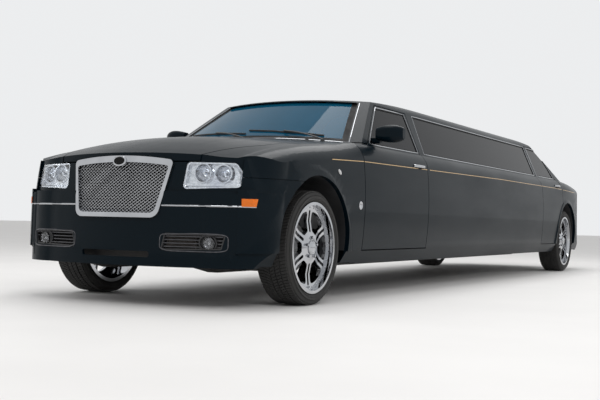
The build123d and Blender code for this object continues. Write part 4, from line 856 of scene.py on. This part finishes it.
class LimoSides(bpy.types.Operator):
    """Painted line, door handles, repeaters and a blank badge on each side"""
    bl_idname = "limousine.sides"
    bl_label = "Side fittings"

    def execute(self, context):
        settings = context.scene.limo_trim
        for side, sign in SIDES:
            for name, nodes, body, start, end in body_strips(side):
                count = max(8, int((end - start) / 0.05))
                places = [start + (end - start) * share for share in shares(count)]
                path = [met(nodes, *from_side(sign, y, stripe_height(y))) for y in places]
                line = swept([spot for spot in path if spot], flat_bar(settings.stripe, 0.0007, 0.0005))
                add_piece(f"stripe_{name}_{side}", line, "stripe", body)
            for name, y, z in HANDLES:
                door = f"{name}_door_{side}"
                handle = handle_mesh(door, sign, y, z, settings.handle_length)
                add_piece(f"handle_{name}_{side}", handle, "chrome", door)
                spot, normal = touch([door], *from_side(sign, y, z))
                cup = disc(HANDLE_CUP, spot, normal, 32, (1.0, 2.1, 0.72))
                add_piece(f"handle_cup_{name}_{side}", cup, "seal", door)
            spot, normal = touch([f"fender_{side}"], *from_side(sign, *REPEATER_PLACE))
            repeater = disc(REPEATER, spot, normal, 24, (1.0, 1.25, 0.75))
            tilt = Matrix.Rotation(sign * REPEATER_TILT, 3, "X")
            bmesh.ops.rotate(repeater, cent=spot, matrix=tilt, verts=repeater.verts)
            add_piece(f"side_repeater_{side}", repeater, "white_lens", "body")
            spot, normal = touch([f"fender_{side}"], *from_side(sign, *BADGE_PLACE))
            add_piece(f"fender_badge_blank_{side}", disc(FENDER_BADGE, spot, normal, 36), "chrome", "body")
        return {"FINISHED"}


# Glass

def key_of(place):
    """Place rounded to a hundredth of a millimetre, so that loose triangles share corners."""
    return tuple(round(part, 5) for part in place)


def pane_loop(node, outward):
    """Places and normals round the outer face of a packed pane, clockwise as seen from outside."""
    data = NODES[node].data
    sides, normals = {}, {}
    for face in data.polygons:
        if face.normal.dot(outward) > 0.4:
            places = [key_of(data.vertices[index].co) for index in face.vertices]
            for a, b in zip(places, [*places[1:], places[0]]):
                key = tuple(sorted((a, b)))
                sides[key] = sides.get(key, 0) + 1
                normals[a] = normals.get(a, Vector()) + face.normal * face.area
    links = {}
    for (a, b), count in sides.items():
        if count == 1:
            links.setdefault(a, []).append(b)
            links.setdefault(b, []).append(a)
    start = min(links)
    loop, before, after = [start], None, None
    while after != start:
        after = next(item for item in links[loop[-1]] if item != before)
        before = loop[-1]
        loop.append(after)
    loop.pop()
    places = [Vector(corner) for corner in loop]
    middle = sum(places, Vector()) / len(places)
    spokes = [place - middle for place in places]
    area = sum((a.cross(b) for a, b in zip(spokes, [*spokes[1:], spokes[0]])), Vector())
    if area.dot(outward) > 0:
        loop.reverse()
    return [(Vector(corner), normals[corner].normalized()) for corner in loop]


def pane_edge(node, outward, spacing=0.12):
    """Path of (place, normal) round a pane, with long sides divided."""
    loop = pane_loop(node, outward)
    path = []
    for (corner, facing), (after, next_facing) in zip(loop, [*loop[1:], loop[0]]):
        if (after - corner).length >= 0.0015:
            parts = max(1, int((after - corner).length / spacing))
            path += [(corner.lerp(after, part / parts), facing.lerp(next_facing, part / parts).normalized())
                     for part in range(parts)]
    return path


# Edges round a pane, with sections of (inwards, outwards) corners; the last is for the end windows only
PANE_EDGES = (
    ("seal", [(-0.006, -0.004), (-0.006, 0.004), (0.007, 0.003), (0.007, -0.004)], "seal"),
    ("trim", [(-0.011, 0.001), (-0.0105, 0.0068), (-0.0075, 0.0078), (-0.0045, 0.0068), (-0.004, 0.001)],
     "chrome"),
    ("border", [(0.004, 0.0002), (0.004, 0.0010), (0.048, 0.0010), (0.048, 0.0002)], "seal"),
)


class LimoGlazing(bpy.types.Operator):
    """Seals and bright edges round every pane, with black borders on the end windows"""
    bl_idname = "limousine.glazing"
    bl_label = "Window trim"

    def execute(self, context):
        ends = [("windshield", Vector((0.0, -0.5, 0.866))), ("rear_window", Vector((0.0, 0.6, 0.8)))]
        panes = ends + [(f"{name}_{side}", Vector((sign * 0.894, 0.0, 0.447))) for side, sign in SIDES
                        for name in ("front_door_glass", "rear_door_glass", "long_window")]
        for name, outward in panes:
            path = pane_edge(name, outward)
            for part, section, finish in PANE_EDGES if (name, outward) in ends else PANE_EDGES[:2]:
                add_piece(f"{part}_{name}", swept(path, section, closed=True), finish, BODY_OF[name])
        return {"FINISHED"}


# Wipers: the spindle's place across the car, the place of the blade's tip, the spindle's place along the car
WIPERS = ((0.62, 0.02, -2.76), (0.02, -0.56, -2.86))
# The blade: how far it reaches past the spindle, its height over the glass's foot, and its rise to the tip
BLADE_PAST, BLADE_CLEAR, BLADE_RISE = 0.06, 0.035, 0.03
WIPER_CAP = [(0.0, -0.004), (0.016, -0.004), (0.016, 0.010), (0.012, 0.016), (0.0, 0.018)]
BLADE = [(-0.006, 0.0), (-0.002, 0.010), (0.002, 0.010), (0.006, 0.0)]
WIPER_ARM = [(-0.007, 0.0), (-0.005, 0.006), (0.005, 0.006), (0.007, 0.0)]

# Middle and half size of the mirror's glass
MIRROR_X, MIRROR_Z = 0.945, 1.183
MIRROR_HALF, MIRROR_HIGH = 0.072, 0.044

# The tail lamp's surround: (across, height) corners
TAIL_OUTLINE = [(0.650, 0.752), (0.780, 0.752), (0.872, 0.752), (0.872, 0.840), (0.872, 0.938),
                (0.780, 0.944), (0.650, 0.946), (0.650, 0.850)]
REVERSING_LENS = [(-0.022, -0.001), (-0.020, 0.0022), (0.020, 0.0022), (0.022, -0.001)]


def glass_foot(x):
    """Height of the windshield's lower edge at a place across the car."""
    low, high = corners("windshield")
    height = low.z
    while height < high.z and met(["windshield"], *from_ahead(x, height)) is None:
        height += 0.003
    return height


def wiper_mesh(x, tip, y):
    """Spindle, bowed arm and blade lying on the glass."""
    foot, _ = touch(["cowl"], (x, y, 1.6), (0, 0, -1))
    blade = []
    for share in shares(17):
        across = x - BLADE_PAST + (tip - x) * share
        height = glass_foot(across) + BLADE_CLEAR + BLADE_RISE * share
        place, normal = touch(["windshield"], *from_ahead(across, height))
        blade.append((place + normal * 0.002, normal))
    grip, normal = blade[8]
    arm = [((foot + Vector((0, 0, 0.012))).lerp(grip + normal * 0.012, share)
            + normal * 0.012 * math.sin(math.pi * share), normal) for share in shares(9)]
    return joined([disc(WIPER_CAP, foot, (0, 0, 1), 20), swept(blade, BLADE), swept(arm, WIPER_ARM)])


def mirror_glass(sign, node):
    """Glass in the mirror's recess, its corners cut back."""
    spot, _ = touch([node], (sign * MIRROR_X, -1.9, MIRROR_Z), (0, -1, 0))
    centre = sign * MIRROR_X
    glass = soft_box((centre - MIRROR_HALF, spot.y - 0.001, MIRROR_Z - MIRROR_HIGH),
                     (centre + MIRROR_HALF, spot.y + 0.0035, MIRROR_Z + MIRROR_HIGH), 0.0012, 2)
    for vert in glass.verts:
        across, high = (vert.co.x - centre) / MIRROR_HALF, (vert.co.z - MIRROR_Z) / MIRROR_HIGH
        pull = max(0.0, abs(across) + abs(high) - 1.62)
        vert.co.x -= math.copysign(0.012 * pull, across)
        vert.co.z -= math.copysign(0.010 * pull, high)
    return glass


class LimoGlassFittings(bpy.types.Operator):
    """Wipers, mirror glass, and lamp fittings at the tail"""
    bl_idname = "limousine.fittings"
    bl_label = "Wipers, mirrors and tail"

    def execute(self, context):
        for number, wiper in enumerate(WIPERS):
            add_piece(f"wiper_{number + 1}", wiper_mesh(*wiper), "plastic", "body")
        for side, sign in SIDES:
            glass = mirror_glass(sign, f"mirror_{side}")
            add_piece(f"mirror_glass_{side}", glass, "mirror", f"front_door_{side}")
            path = []
            for (x, z), (next_x, next_z) in zip(TAIL_OUTLINE, [*TAIL_OUTLINE[1:], TAIL_OUTLINE[0]]):
                for share in (part / 6 for part in range(6)):
                    place = from_behind(sign * (x + (next_x - x) * share), z + (next_z - z) * share)
                    path.append(touch(["taillights"], *place))
            bezel = swept(path, rounded_bar(0.010, 0.003, 0.001), closed=True)
            add_piece(f"tail_bezel_{side}", bezel, "chrome", "body")
            path = [touch(["taillights"], *from_behind(sign * (0.672 + 0.165 * share), 0.846))
                    for share in shares(15)]
            add_piece(f"reversing_lens_{side}", swept(path, REVERSING_LENS), "white_lens", "body")
        return {"FINISHED"}


# Seats

# Pads: size of a voxel, the most that pressure may move a place, and how far their sides are pulled in
PAD_VOXEL, PAD_SWELL, PAD_PULL = 0.011, 0.024, 0.035
# Sewing: its depth, a channel's half width, and the seam's place from the border and half width
SEWN_DEPTH, CHANNEL_HALF, SEAM_IN, SEAM_HALF = 0.009, 0.010, 0.052, 0.007
# Piping: its radius, how far in from the border it runs, and its height as a share of the thickness
PIPING, PIPING_IN, PIPING_UP = 0.0042, 0.022, 0.385
CUSHION = (0.54, 0.50, 0.15)
BACK = (0.54, 0.56, 0.14)
FRONT_RAKE, BENCH_RAKE = math.radians(17.1), math.radians(16.7)
# A front seat's place across the car, steps between places on the bench and the sofa, and the sofa's first
SEAT_X, BENCH_STEP, SOFA_STEP, SOFA_START = 0.37, 0.455, 0.507, -0.338
TWO_CHANNELS, THREE_CHANNELS = (-0.17, 0.17), (-0.22, 0.0, 0.22)


def evaluated_mesh(item):
    """Mesh of an object with its modifiers applied."""
    return bpy.data.meshes.new_from_object(item.evaluated_get(bpy.context.evaluated_depsgraph_get()))


def pad_mesh(size, crown, name):
    """Stuffed pad: a rounded box that cloth pressure fills, with its sides pulled in between the corners."""
    wide, deep, thick = size
    mesh = bmesh.new()
    bmesh.ops.create_cube(mesh, size=1.0)
    bmesh.ops.scale(mesh, vec=(wide * 0.95, deep * 0.95, thick * 0.80), verts=mesh.verts)
    bmesh.ops.subdivide_edges(mesh, edges=mesh.edges, cuts=7, use_grid_fill=True)
    for vert in mesh.verts:
        x, y = vert.co.x / (wide / 2), vert.co.y / (deep / 2)
        vert.co.x *= 1.0 - PAD_PULL * (1 - y * y)
        vert.co.y *= 1.0 - PAD_PULL * (1 - x * x)
        if vert.co.z > 0:
            vert.co.z += crown * (1 - x * x) * (1 - y * y)
    outer = [edge for edge in mesh.edges if len(edge.link_faces) == 2 and edge.calc_face_angle(0.0) > 1.0]
    bmesh.ops.bevel(mesh, geom=outer, offset=thick * 0.22, segments=4, profile=0.5, affect="EDGES",
                    clamp_overlap=True, material=-1)
    data = bpy.data.meshes.new(name)
    mesh.to_mesh(data)
    mesh.free()
    scene = bpy.context.scene
    pad = bpy.data.objects.new(name, data)
    scene.collection.objects.link(pad)
    remesh = pad.modifiers.new("Remesh", "REMESH")
    remesh.mode = "VOXEL"
    remesh.voxel_size = PAD_VOXEL
    shape = evaluated_mesh(pad)
    pad.modifiers.clear()
    pad.data = shape
    rest = [vert.co.copy() for vert in shape.vertices]
    cloth = pad.modifiers.new("Cloth", "CLOTH")
    cloth.settings.use_pressure = True
    cloth.settings.uniform_pressure_force = 4.0
    cloth.settings.effector_weights.gravity = 0.0
    cloth.settings.quality = 4
    for number in range(1, 21):
        scene.frame_set(number)
    shape = evaluated_mesh(pad)
    pad.modifiers.clear()
    for vert, start in zip(shape.vertices, rest):
        move = vert.co - start
        if move.length > PAD_SWELL:
            vert.co = start + move.normalized() * PAD_SWELL
    scene.frame_set(1)
    bpy.data.objects.remove(pad)
    return shape


def place_pad(shape, size, channels, matrix, low, high):
    """Copy of a pad with sewn channels and piping, moved by a matrix and kept between two corners."""
    mesh = bmesh.new()
    mesh.from_mesh(shape)
    wide, deep, thick = size
    reach = [max(abs(vert.co[axis]) for vert in mesh.verts) for axis in range(3)]
    bmesh.ops.scale(mesh, vec=[size[axis] / 2 / reach[axis] for axis in range(3)], verts=mesh.verts)
    for vert in mesh.verts:
        if vert.co.z > 0.1 * thick:
            border = min(wide / 2 - abs(vert.co.x), deep / 2 - abs(vert.co.y))
            groove = max(math.exp(-(((vert.co.x - line * wide) / CHANNEL_HALF) ** 2)) for line in channels)
            seam = 0.8 * math.exp(-(((border - SEAM_IN) / SEAM_HALF) ** 2))
            vert.co.z -= SEWN_DEPTH * max(groove if border > 0.05 else 0.0, seam)
    bmesh.ops.smooth_vert(mesh, verts=mesh.verts, factor=0.3, use_axis_x=True, use_axis_y=True,
                          use_axis_z=True)
    path = []
    for turn in turns(72):
        c, s = math.cos(turn), math.sin(turn)
        x = math.copysign(abs(c) ** 0.28, c) * (wide / 2 - PIPING_IN)
        y = math.copysign(abs(s) ** 0.28, s) * (deep / 2 - PIPING_IN)
        path.append((Vector((x, y, thick * PIPING_UP)), Vector((0, 0, 1))))
    whole = joined([mesh, swept(path, round_bar(PIPING, PIPING), closed=True)])
    bmesh.ops.transform(whole, matrix=matrix, verts=whole.verts)
    for vert in whole.verts:
        vert.co = Vector([min(max(vert.co[axis], low[axis]), high[axis]) for axis in range(3)])
    return whole


def lying(x, y, z, facing=0.0):
    """Places a pad flat, its crown up, with its middle at a point."""
    return Matrix.Translation((x, y, z)) @ Matrix.Rotation(facing, 4, "Z")


def leaning(x, y, z, angle, facing=0.0):
    """Places a pad upright, its crown towards facing, leaning back by an angle."""
    return lying(x, y, z, facing) @ Matrix.Rotation(math.radians(90.0) - angle, 4, "X")


class LimoSeats(bpy.types.Operator):
    """Padded leather on the front seats, the rear bench and the side sofa"""
    bl_idname = "limousine.seats"
    bl_label = "Seats"

    def execute(self, context):
        shapes = (pad_mesh(CUSHION, 0.012, "cushion_shape"), pad_mesh(BACK, 0.010, "back_shape"))
        self.front_seats(*shapes)
        self.lounge(*shapes)
        for data in shapes:
            bpy.data.meshes.remove(data)
        return {"FINISHED"}

    def front_seats(self, cushion, back):
        """Two seats with their plinths and back shells."""
        low, high = corners("front_seats")
        pads, plinths, shells = [], [], []
        for side, sign in SIDES:
            x = sign * SEAT_X
            pads.append((f"front_cushion_{side}", cushion, (0.56, 0.50, 0.165), TWO_CHANNELS,
                         lying(x, -1.925, 0.560)))
            pads.append((f"front_back_{side}", back, (0.54, 0.58, 0.135), TWO_CHANNELS,
                         leaning(x, -1.632, 0.855, FRONT_RAKE)))
            plinths.append(soft_box((x - 0.24, -2.10, low.z), (x + 0.24, -1.69, 0.490), 0.02))
            shell = soft_box((x - 0.27, -1.70, 0.52), (x + 0.27, -1.62, 1.10), 0.03, 4)
            for vert in shell.verts:
                vert.co.y += 0.072 + (vert.co.z - 0.60) * math.tan(FRONT_RAKE)
                vert.co.z = min(vert.co.z, high.z - 0.002)
                vert.co.y = min(vert.co.y, high.y - 0.002)
            shells.append(shell)
        self.lay(pads, "front_seats")
        add_piece("front_seat_shells", joined(plinths + shells), "cabin", "body", sharp=30.0)

    def lounge(self, cushion, back):
        """Rear bench of three places and side sofa of five, on their plinths."""
        floor = corners("lounge_seats")[0].z
        pads = []
        for number in range(3):
            x = (number - 1) * BENCH_STEP
            pads.append((f"bench_cushion_{number + 1}", cushion, (0.452, 0.47, 0.135), THREE_CHANNELS,
                         lying(x, 2.525, 0.628)))
            pads.append((f"bench_back_{number + 1}", back, (0.452, 0.50, 0.115), THREE_CHANNELS,
                         leaning(x, 2.855, 0.915, BENCH_RAKE)))
        inwards = math.radians(90.0)
        for number in range(5):
            y = SOFA_START + number * SOFA_STEP
            pads.append((f"sofa_cushion_{number + 1}", cushion, (0.505, 0.50, 0.150), THREE_CHANNELS,
                         lying(-0.500, y, 0.602, inwards)))
            pads.append((f"sofa_back_{number + 1}", back, (0.505, 0.38, 0.120), THREE_CHANNELS,
                         leaning(-0.700, y, 0.865, math.radians(2.0), inwards)))
        self.lay(pads, "lounge_seats")
        plinths = [
            soft_box((-0.64, 2.365, floor), (0.64, 2.585, 0.572), 0.012),
            soft_box((-0.770, -0.588, floor), (-0.262, 1.940, 0.535), 0.012),
            soft_box((-0.771, -0.590, 0.50), (-0.742, 1.942, 1.055), 0.006),
        ]
        board = soft_box((-0.698, 2.76, 0.56), (0.698, 2.80, 1.17), 0.01)
        for vert in board.verts:
            vert.co.y += (vert.co.z - 0.56) * math.tan(BENCH_RAKE) - 0.005
        add_piece("lounge_plinths", joined([*plinths, board]), "cabin", "body", sharp=30.0)

    def lay(self, pads, node):
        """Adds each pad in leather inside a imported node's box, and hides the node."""
        made = []
        for name, shape, size, channels, matrix in pads:
            mesh = place_pad(shape, size, channels, matrix, *corners(node))
            piece = add_piece(name, mesh, "leather", "body", sharp=70.0)
            made.append(piece)
        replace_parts(made[0], node)


# Cabin

# Outlines of the dashboard's rings and of the steering wheel's boss: (radius, how far outwards)
DIAL = [(0.0, -0.006), (0.058, -0.006), (0.058, 0.004), (0.053, 0.007), (0.050, 0.002), (0.0, 0.001)]
AIR_VENT = [(0.0, -0.004), (0.034, -0.004), (0.034, 0.004), (0.030, 0.006), (0.027, 0.001), (0.0, 0.001)]
BOSS = [(0.0, -0.02), (0.072, -0.018), (0.078, 0.0), (0.070, 0.014), (0.045, 0.022), (0.0, 0.025)]
COLUMN_RAKE = math.radians(24.0)

BAR_DOORS = 5
DOOR_TOP, PULL_LOW, PULL_HIGH = 0.87, 0.80, 0.812

# Where each door's lining starts and ends behind the door's front edge
LININGS = {"front_door": (0.12, 1.08), "rear_door": (0.10, 0.60)}


class LimoCabin(bpy.types.Operator):
    """Dashboard, steering wheel, bar, partition and door linings"""
    bl_idname = "limousine.cabin"
    bl_label = "Cabin fittings"

    def execute(self, context):
        self.dashboard()
        self.bar()
        self.partition()
        for side, sign in SIDES:
            for name, reach in LININGS.items():
                self.lining(f"{name}_{side}", sign, reach)
        return {"FINISHED"}

    def dashboard(self):
        """Instrument hood with two dials, vents and a blank centre panel, on the face towards the seats."""
        face = corners("dashboard")[1].y
        hood = joined([soft_box((0.18, face - 0.16, 0.985), (0.56, face - 0.035, 1.050), 0.022, 4),
                       soft_box((-0.15, face - 0.05, 0.80), (0.15, face - 0.002, 0.975), 0.012, 3)])
        add_piece("instrument_hood", hood, "cabin", "body", sharp=30.0)
        towards = (0, 1, 0.12)
        rings = [disc(DIAL, (x, face - 0.028, 0.935), towards, 36) for x in (0.295, 0.445)]
        rings += [disc(AIR_VENT, (x, face - 0.030, z), towards, 28)
                  for x, z in ((-0.60, 0.905), (-0.23, 0.90), (0.23, 0.90), (0.62, 0.905))]
        add_piece("dash_rings", joined(rings), "chrome", "body")
        panel = soft_box((-0.115, face - 0.008, 0.872), (0.115, face - 0.0005, 0.962), 0.003, 2)
        add_piece("centre_panel", panel, "seal", "body")
        low, high = corners("steering_wheel")
        hub = Vector(((low.x + high.x) / 2, high.y - 0.078, 0.940))
        axis = Vector((0, math.cos(COLUMN_RAKE), math.sin(COLUMN_RAKE)))
        add_piece("wheel_boss", disc(BOSS, hub, axis, 32), "leather", "body")

    def bar(self):
        """Door fronts with pulls, and a rail along the counter's edge."""
        low, high = corners("bar_cabinet")
        width = (high.y - low.y) / BAR_DOORS
        fronts, pulls = [], []
        for number in range(BAR_DOORS):
            y = low.y + width * number
            fronts.append(soft_box((low.x - 0.0005, y + 0.012, low.z + 0.05),
                                   (low.x + 0.012, y + width - 0.012, DOOR_TOP), 0.004, 2))
            pulls.append(soft_box((low.x + 0.0003, y + width / 2 - 0.05, PULL_LOW),
                                  (low.x + 0.004, y + width / 2 + 0.05, PULL_HIGH), 0.0015, 2))
        add_piece("bar_doors", joined(fronts), "wood", "body", sharp=30.0)
        add_piece("bar_pulls", joined(pulls), "chrome", "body", sharp=30.0)
        length = high.y - low.y - 0.04
        path = [(Vector((low.x + 0.006, low.y + 0.02 + length * share, high.z - 0.006)), Vector((0, 0, 1)))
                for share in shares(13)]
        add_piece("bar_rail", swept(path, round_bar(0.005, 0.005)), "chrome", "body")

    def partition(self):
        """Two framed panels towards the passengers."""
        low, high = corners("partition")
        panels = [soft_box((start, high.y - 0.004, 0.42), (end, high.y - 0.0005, 0.86), 0.0015, 2)
                  for start, end in ((low.x + 0.06, -0.02), (0.02, high.x - 0.06))]
        add_piece("partition_panels", joined(panels), "wood", "body", sharp=30.0)

    def lining(self, door, sign, reach):
        """Armrest and pocket on the inner face of a door."""
        start, end = (corners(door)[0].y + place for place in reach)
        inner, _ = touch([door], (0.0, (start + end) / 2, 0.70), (sign, 0, 0))
        near, far = sorted((inner.x - sign * 0.001, inner.x + sign * 0.02))
        rest = soft_box((near, start, 0.82), (far, end, 0.875), 0.012, 4)
        pocket = soft_box((near, start + 0.04, 0.43), (far, end - 0.10, 0.60), 0.010, 3)
        add_piece(f"lining_{door}", joined([rest, pocket]), "leather", door, sharp=40.0)


# Settings

class LIMO_PG_paint(bpy.types.PropertyGroup):
    """Body paint"""
    dark: FloatVectorProperty(name="Dark tint", description="Paint between the flakes", subtype="COLOR",
                              default=(0.0007, 0.0028, 0.0048))
    light: FloatVectorProperty(name="Light tint", description="Paint on the flakes", subtype="COLOR",
                               default=(0.0018, 0.0066, 0.0105))
    coat: FloatProperty(name="Coat", description="How much clear coat lies on the paint", default=0.2,
                        subtype="FACTOR")
    coat_roughness: FloatProperty(name="Coat roughness", description="How dull the clear coat is",
                                  default=0.02, subtype="FACTOR")
    edge: FloatProperty(name="Edge", description="How far panel edges are softened", default=0.0016,
                        unit="LENGTH")


class LIMO_PG_wheels(bpy.types.PropertyGroup):
    """Tyre tread and wheel fittings"""
    tread_ribs: IntProperty(name="Ribs", description="Rows of blocks across the tread", default=5, min=3)
    tread_pitches: IntProperty(name="Pitches", description="Blocks round the tread in each row", default=104,
                               min=24)
    rivets: IntProperty(name="Rivets", description="Studs round each rim's lip", default=30)
    lug_nuts: IntProperty(name="Nuts", description="Nuts that hold each wheel", default=5)


class LIMO_PG_nose(bpy.types.PropertyGroup):
    """Grille weave and bumper strips"""
    diamond_width: FloatProperty(name="Diamond width", description="Width of one opening in the weave",
                                 default=0.027, unit="LENGTH")
    diamond_height: FloatProperty(name="Diamond height", description="Height of one opening in the weave",
                                  default=0.020, unit="LENGTH")
    wire: FloatProperty(name="Wire", description="Thickness of a wire in the weave", default=0.0036,
                        unit="LENGTH")
    strip_start: FloatProperty(name="Strip start", description="Inner end of the strip from the middle",
                               default=0.324, unit="LENGTH")
    strip_end: FloatProperty(name="Strip end", description="Outer end of the strip from the middle",
                             default=0.857, unit="LENGTH")
    strip_height: FloatProperty(name="Strip height", description="Height of the bumper strip", default=0.6055,
                                unit="LENGTH")


class LIMO_PG_trim(bpy.types.PropertyGroup):
    """Painted line and door handles"""
    stripe: FloatProperty(name="Stripe", description="Width of the painted line", default=0.005,
                          unit="LENGTH")
    handle_length: FloatProperty(name="Handle", description="Length of a door handle", default=0.226,
                                 unit="LENGTH")


class LIMO_PG_stage(bpy.types.PropertyGroup):
    """Camera, floor and background"""
    camera_place: FloatVectorProperty(name="Camera place", description="Where the camera stands",
                                      default=(3.827, -9.057, 0.531), unit="LENGTH")
    camera_yaw: FloatProperty(name="Yaw", description="Turn of the view from straight back", unit="ROTATION",
                              default=math.radians(28.20))
    camera_pitch: FloatProperty(name="Pitch", description="Upward tilt of the view", unit="ROTATION",
                                default=math.radians(1.207))
    camera_roll: FloatProperty(name="Roll", description="Roll of the view", unit="ROTATION",
                               default=math.radians(1.312))
    lens: FloatProperty(name="Lens", description="Focal length in millimetres for a 36 mm wide sensor",
                        default=60.17)
    floor_tint: FloatVectorProperty(name="Floor", description="Colour of the floor", subtype="COLOR",
                                    default=(0.74, 0.73, 0.72))
    backdrop: FloatVectorProperty(name="Backdrop", description="Colour behind the object", subtype="COLOR",
                                  default=(0.84, 0.85, 0.86))
    light: FloatProperty(name="Light", description="Strength of the world's light on the object",
                         default=0.65)


class LimoFinishes(bpy.types.Operator):
    """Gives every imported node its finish"""
    bl_idname = "limousine.finishes"
    bl_label = "Finish packed nodes"

    def execute(self, context):
        finishes.update(make_finishes(context.scene.limo_paint))
        for finish in NODE_FINISH:
            for node in nodes_of(finish):
                for slot in NODES[node].material_slots:
                    slot.material = finishes[finish]
        return {"FINISHED"}


# Stage

# Columns: name, place, aim, size, power, whether gloss mirrors it
LAMPS = (
    ("key_lamp", (7.0, -9.0, 6.5), (0.5, -2.0, 0.6), (5.0, 3.0), 330.0, False),
    ("top_lamp", (0.0, 0.5, 6.0), (0.0, 0.5, 0.0), (3.0, 10.0), 260.0, True),
    ("side_lamp", (8.0, 3.0, 3.4), (0.9, 1.0, 0.6), (9.0, 1.6), 160.0, False),
    ("fill_lamp", (-7.0, -7.0, 4.5), (0.0, -1.0, 0.6), (5.0, 3.0), 170.0, False),
)


class LimoStage(bpy.types.Operator):
    """Makes the camera, the pale floor, the lamps and the world"""
    bl_idname = "limousine.stage"
    bl_label = "Set the stage"

    def execute(self, context):
        settings = context.scene.limo_stage
        self.set_camera(context.scene, settings)
        self.lay_floor(settings)
        self.hang_lamps(context.scene)
        self.make_world(context.scene, settings)
        context.scene.view_settings.view_transform = "Standard"
        return {"FINISHED"}

    def set_camera(self, scene, settings):
        """Camera where the photograph was taken from."""
        yaw, pitch, roll = settings.camera_yaw, settings.camera_pitch, settings.camera_roll
        ahead = Vector((-math.sin(yaw) * math.cos(pitch), math.cos(yaw) * math.cos(pitch), math.sin(pitch)))
        level = Vector((math.cos(yaw), math.sin(yaw), 0.0))
        upward = level.cross(ahead)
        right = level * math.cos(roll) + upward * math.sin(roll)
        top = upward * math.cos(roll) - level * math.sin(roll)
        camera = bpy.data.objects.new("camera", bpy.data.cameras.new("camera"))
        camera.data.sensor_width = 36.0
        camera.data.lens = settings.lens
        facing = Matrix((right, top, -ahead)).transposed().to_4x4()
        camera.matrix_world = Matrix.Translation(settings.camera_place) @ facing
        scene.collection.objects.link(camera)
        scene.camera = camera

    def lay_floor(self, settings):
        """Plain pale floor with a faint cloud in it."""
        tint = tuple(settings.floor_tint)
        pale = tuple(min(1.0, part * 1.04) for part in tint)
        material = make_finish("studio_floor", (tint, pale), noise(1.2, detail=6.0), Roughness=0.6,
                               Specular_IOR_Level=0.3)
        mesh = bmesh.new()
        bmesh.ops.create_grid(mesh, x_segments=8, y_segments=8, size=60.0)
        add_object("studio_floor", mesh, material)

    def hang_lamps(self, scene):
        """Soft lamps over and beside the car."""
        for name, place, aim, size, power, mirrored in LAMPS:
            lamp = bpy.data.lights.new(name, "AREA")
            lamp.shape = "RECTANGLE"
            lamp.size, lamp.size_y = size
            lamp.energy = power
            holder = bpy.data.objects.new(name, lamp)
            holder.location = place
            holder.visible_glossy = mirrored
            holder.rotation_euler = (Vector(aim) - Vector(place)).to_track_quat("-Z", "Y").to_euler()
            scene.collection.objects.link(holder)

    def make_world(self, scene, settings):
        """Plain light on the object, with the pale backdrop for what the camera, metal and glass see."""
        world = bpy.data.worlds.new("studio_world")
        world.use_nodes = True
        scene.world = world
        tree = world.node_tree
        seen = next(node for node in tree.nodes if node.type == "BACKGROUND")
        output = next(node for node in tree.nodes if node.type == "OUTPUT_WORLD")
        plain = tree.nodes.new("ShaderNodeBackground")
        white = (1.0, 1.0, 1.0)
        for node, colour, strength in ((seen, settings.backdrop, 1.0), (plain, white, settings.light)):
            node.inputs["Color"].default_value = (*colour, 1.0)
            node.inputs["Strength"].default_value = strength
        rays = tree.nodes.new("ShaderNodeLightPath")
        either, any_seen = tree.nodes.new("ShaderNodeMath"), tree.nodes.new("ShaderNodeMath")
        either.operation = any_seen.operation = "MAXIMUM"
        blend = tree.nodes.new("ShaderNodeMixShader")
        for source, target in (
            (rays.outputs["Is Glossy Ray"], either.inputs[0]),
            (rays.outputs["Is Transmission Ray"], either.inputs[1]),
            (either.outputs["Value"], any_seen.inputs[0]),
            (rays.outputs["Is Camera Ray"], any_seen.inputs[1]),
            (any_seen.outputs["Value"], blend.inputs["Fac"]),
            (plain.outputs["Background"], blend.inputs[1]),
            (seen.outputs["Background"], blend.inputs[2]),
            (blend.outputs["Shader"], output.inputs["Surface"]),
        ):
            tree.links.new(source, target)


class LIMO_PT_panel(bpy.types.Panel):
    """Lists the steps that dress the limousine"""
    bl_label = "Limousine"
    bl_idname = "LIMO_PT_panel"
    bl_space_type = "VIEW_3D"
    bl_region_type = "UI"
    bl_category = "Limousine"

    def draw(self, context):
        for step in STEPS:
            self.layout.operator(step.bl_idname)


GROUPS = {"limo_paint": LIMO_PG_paint, "limo_wheels": LIMO_PG_wheels, "limo_nose": LIMO_PG_nose,
          "limo_trim": LIMO_PG_trim, "limo_stage": LIMO_PG_stage}
# Panels come last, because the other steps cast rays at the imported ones
STEPS = (LimoFinishes, LimoStage, LimoTyres, LimoWheels, LimoMesh, LimoNose, LimoSides, LimoGlazing,
         LimoGlassFittings, LimoCabin, LimoSeats, LimoPanels)
finishes = {}


def register():
    for name, group in GROUPS.items():
        bpy.utils.register_class(group)
        setattr(bpy.types.Scene, name, PointerProperty(type=group))
    for step in (*STEPS, LIMO_PT_panel):
        bpy.utils.register_class(step)


def unregister():
    for step in (LIMO_PT_panel, *reversed(STEPS)):
        bpy.utils.unregister_class(step)
    for name, group in GROUPS.items():
        delattr(bpy.types.Scene, name)
        bpy.utils.unregister_class(group)


def main():
    register()
    for step in STEPS:
        category, call = step.bl_idname.split(".")
        getattr(getattr(bpy.ops, category), call)()


if __name__ == "__main__":
    main()
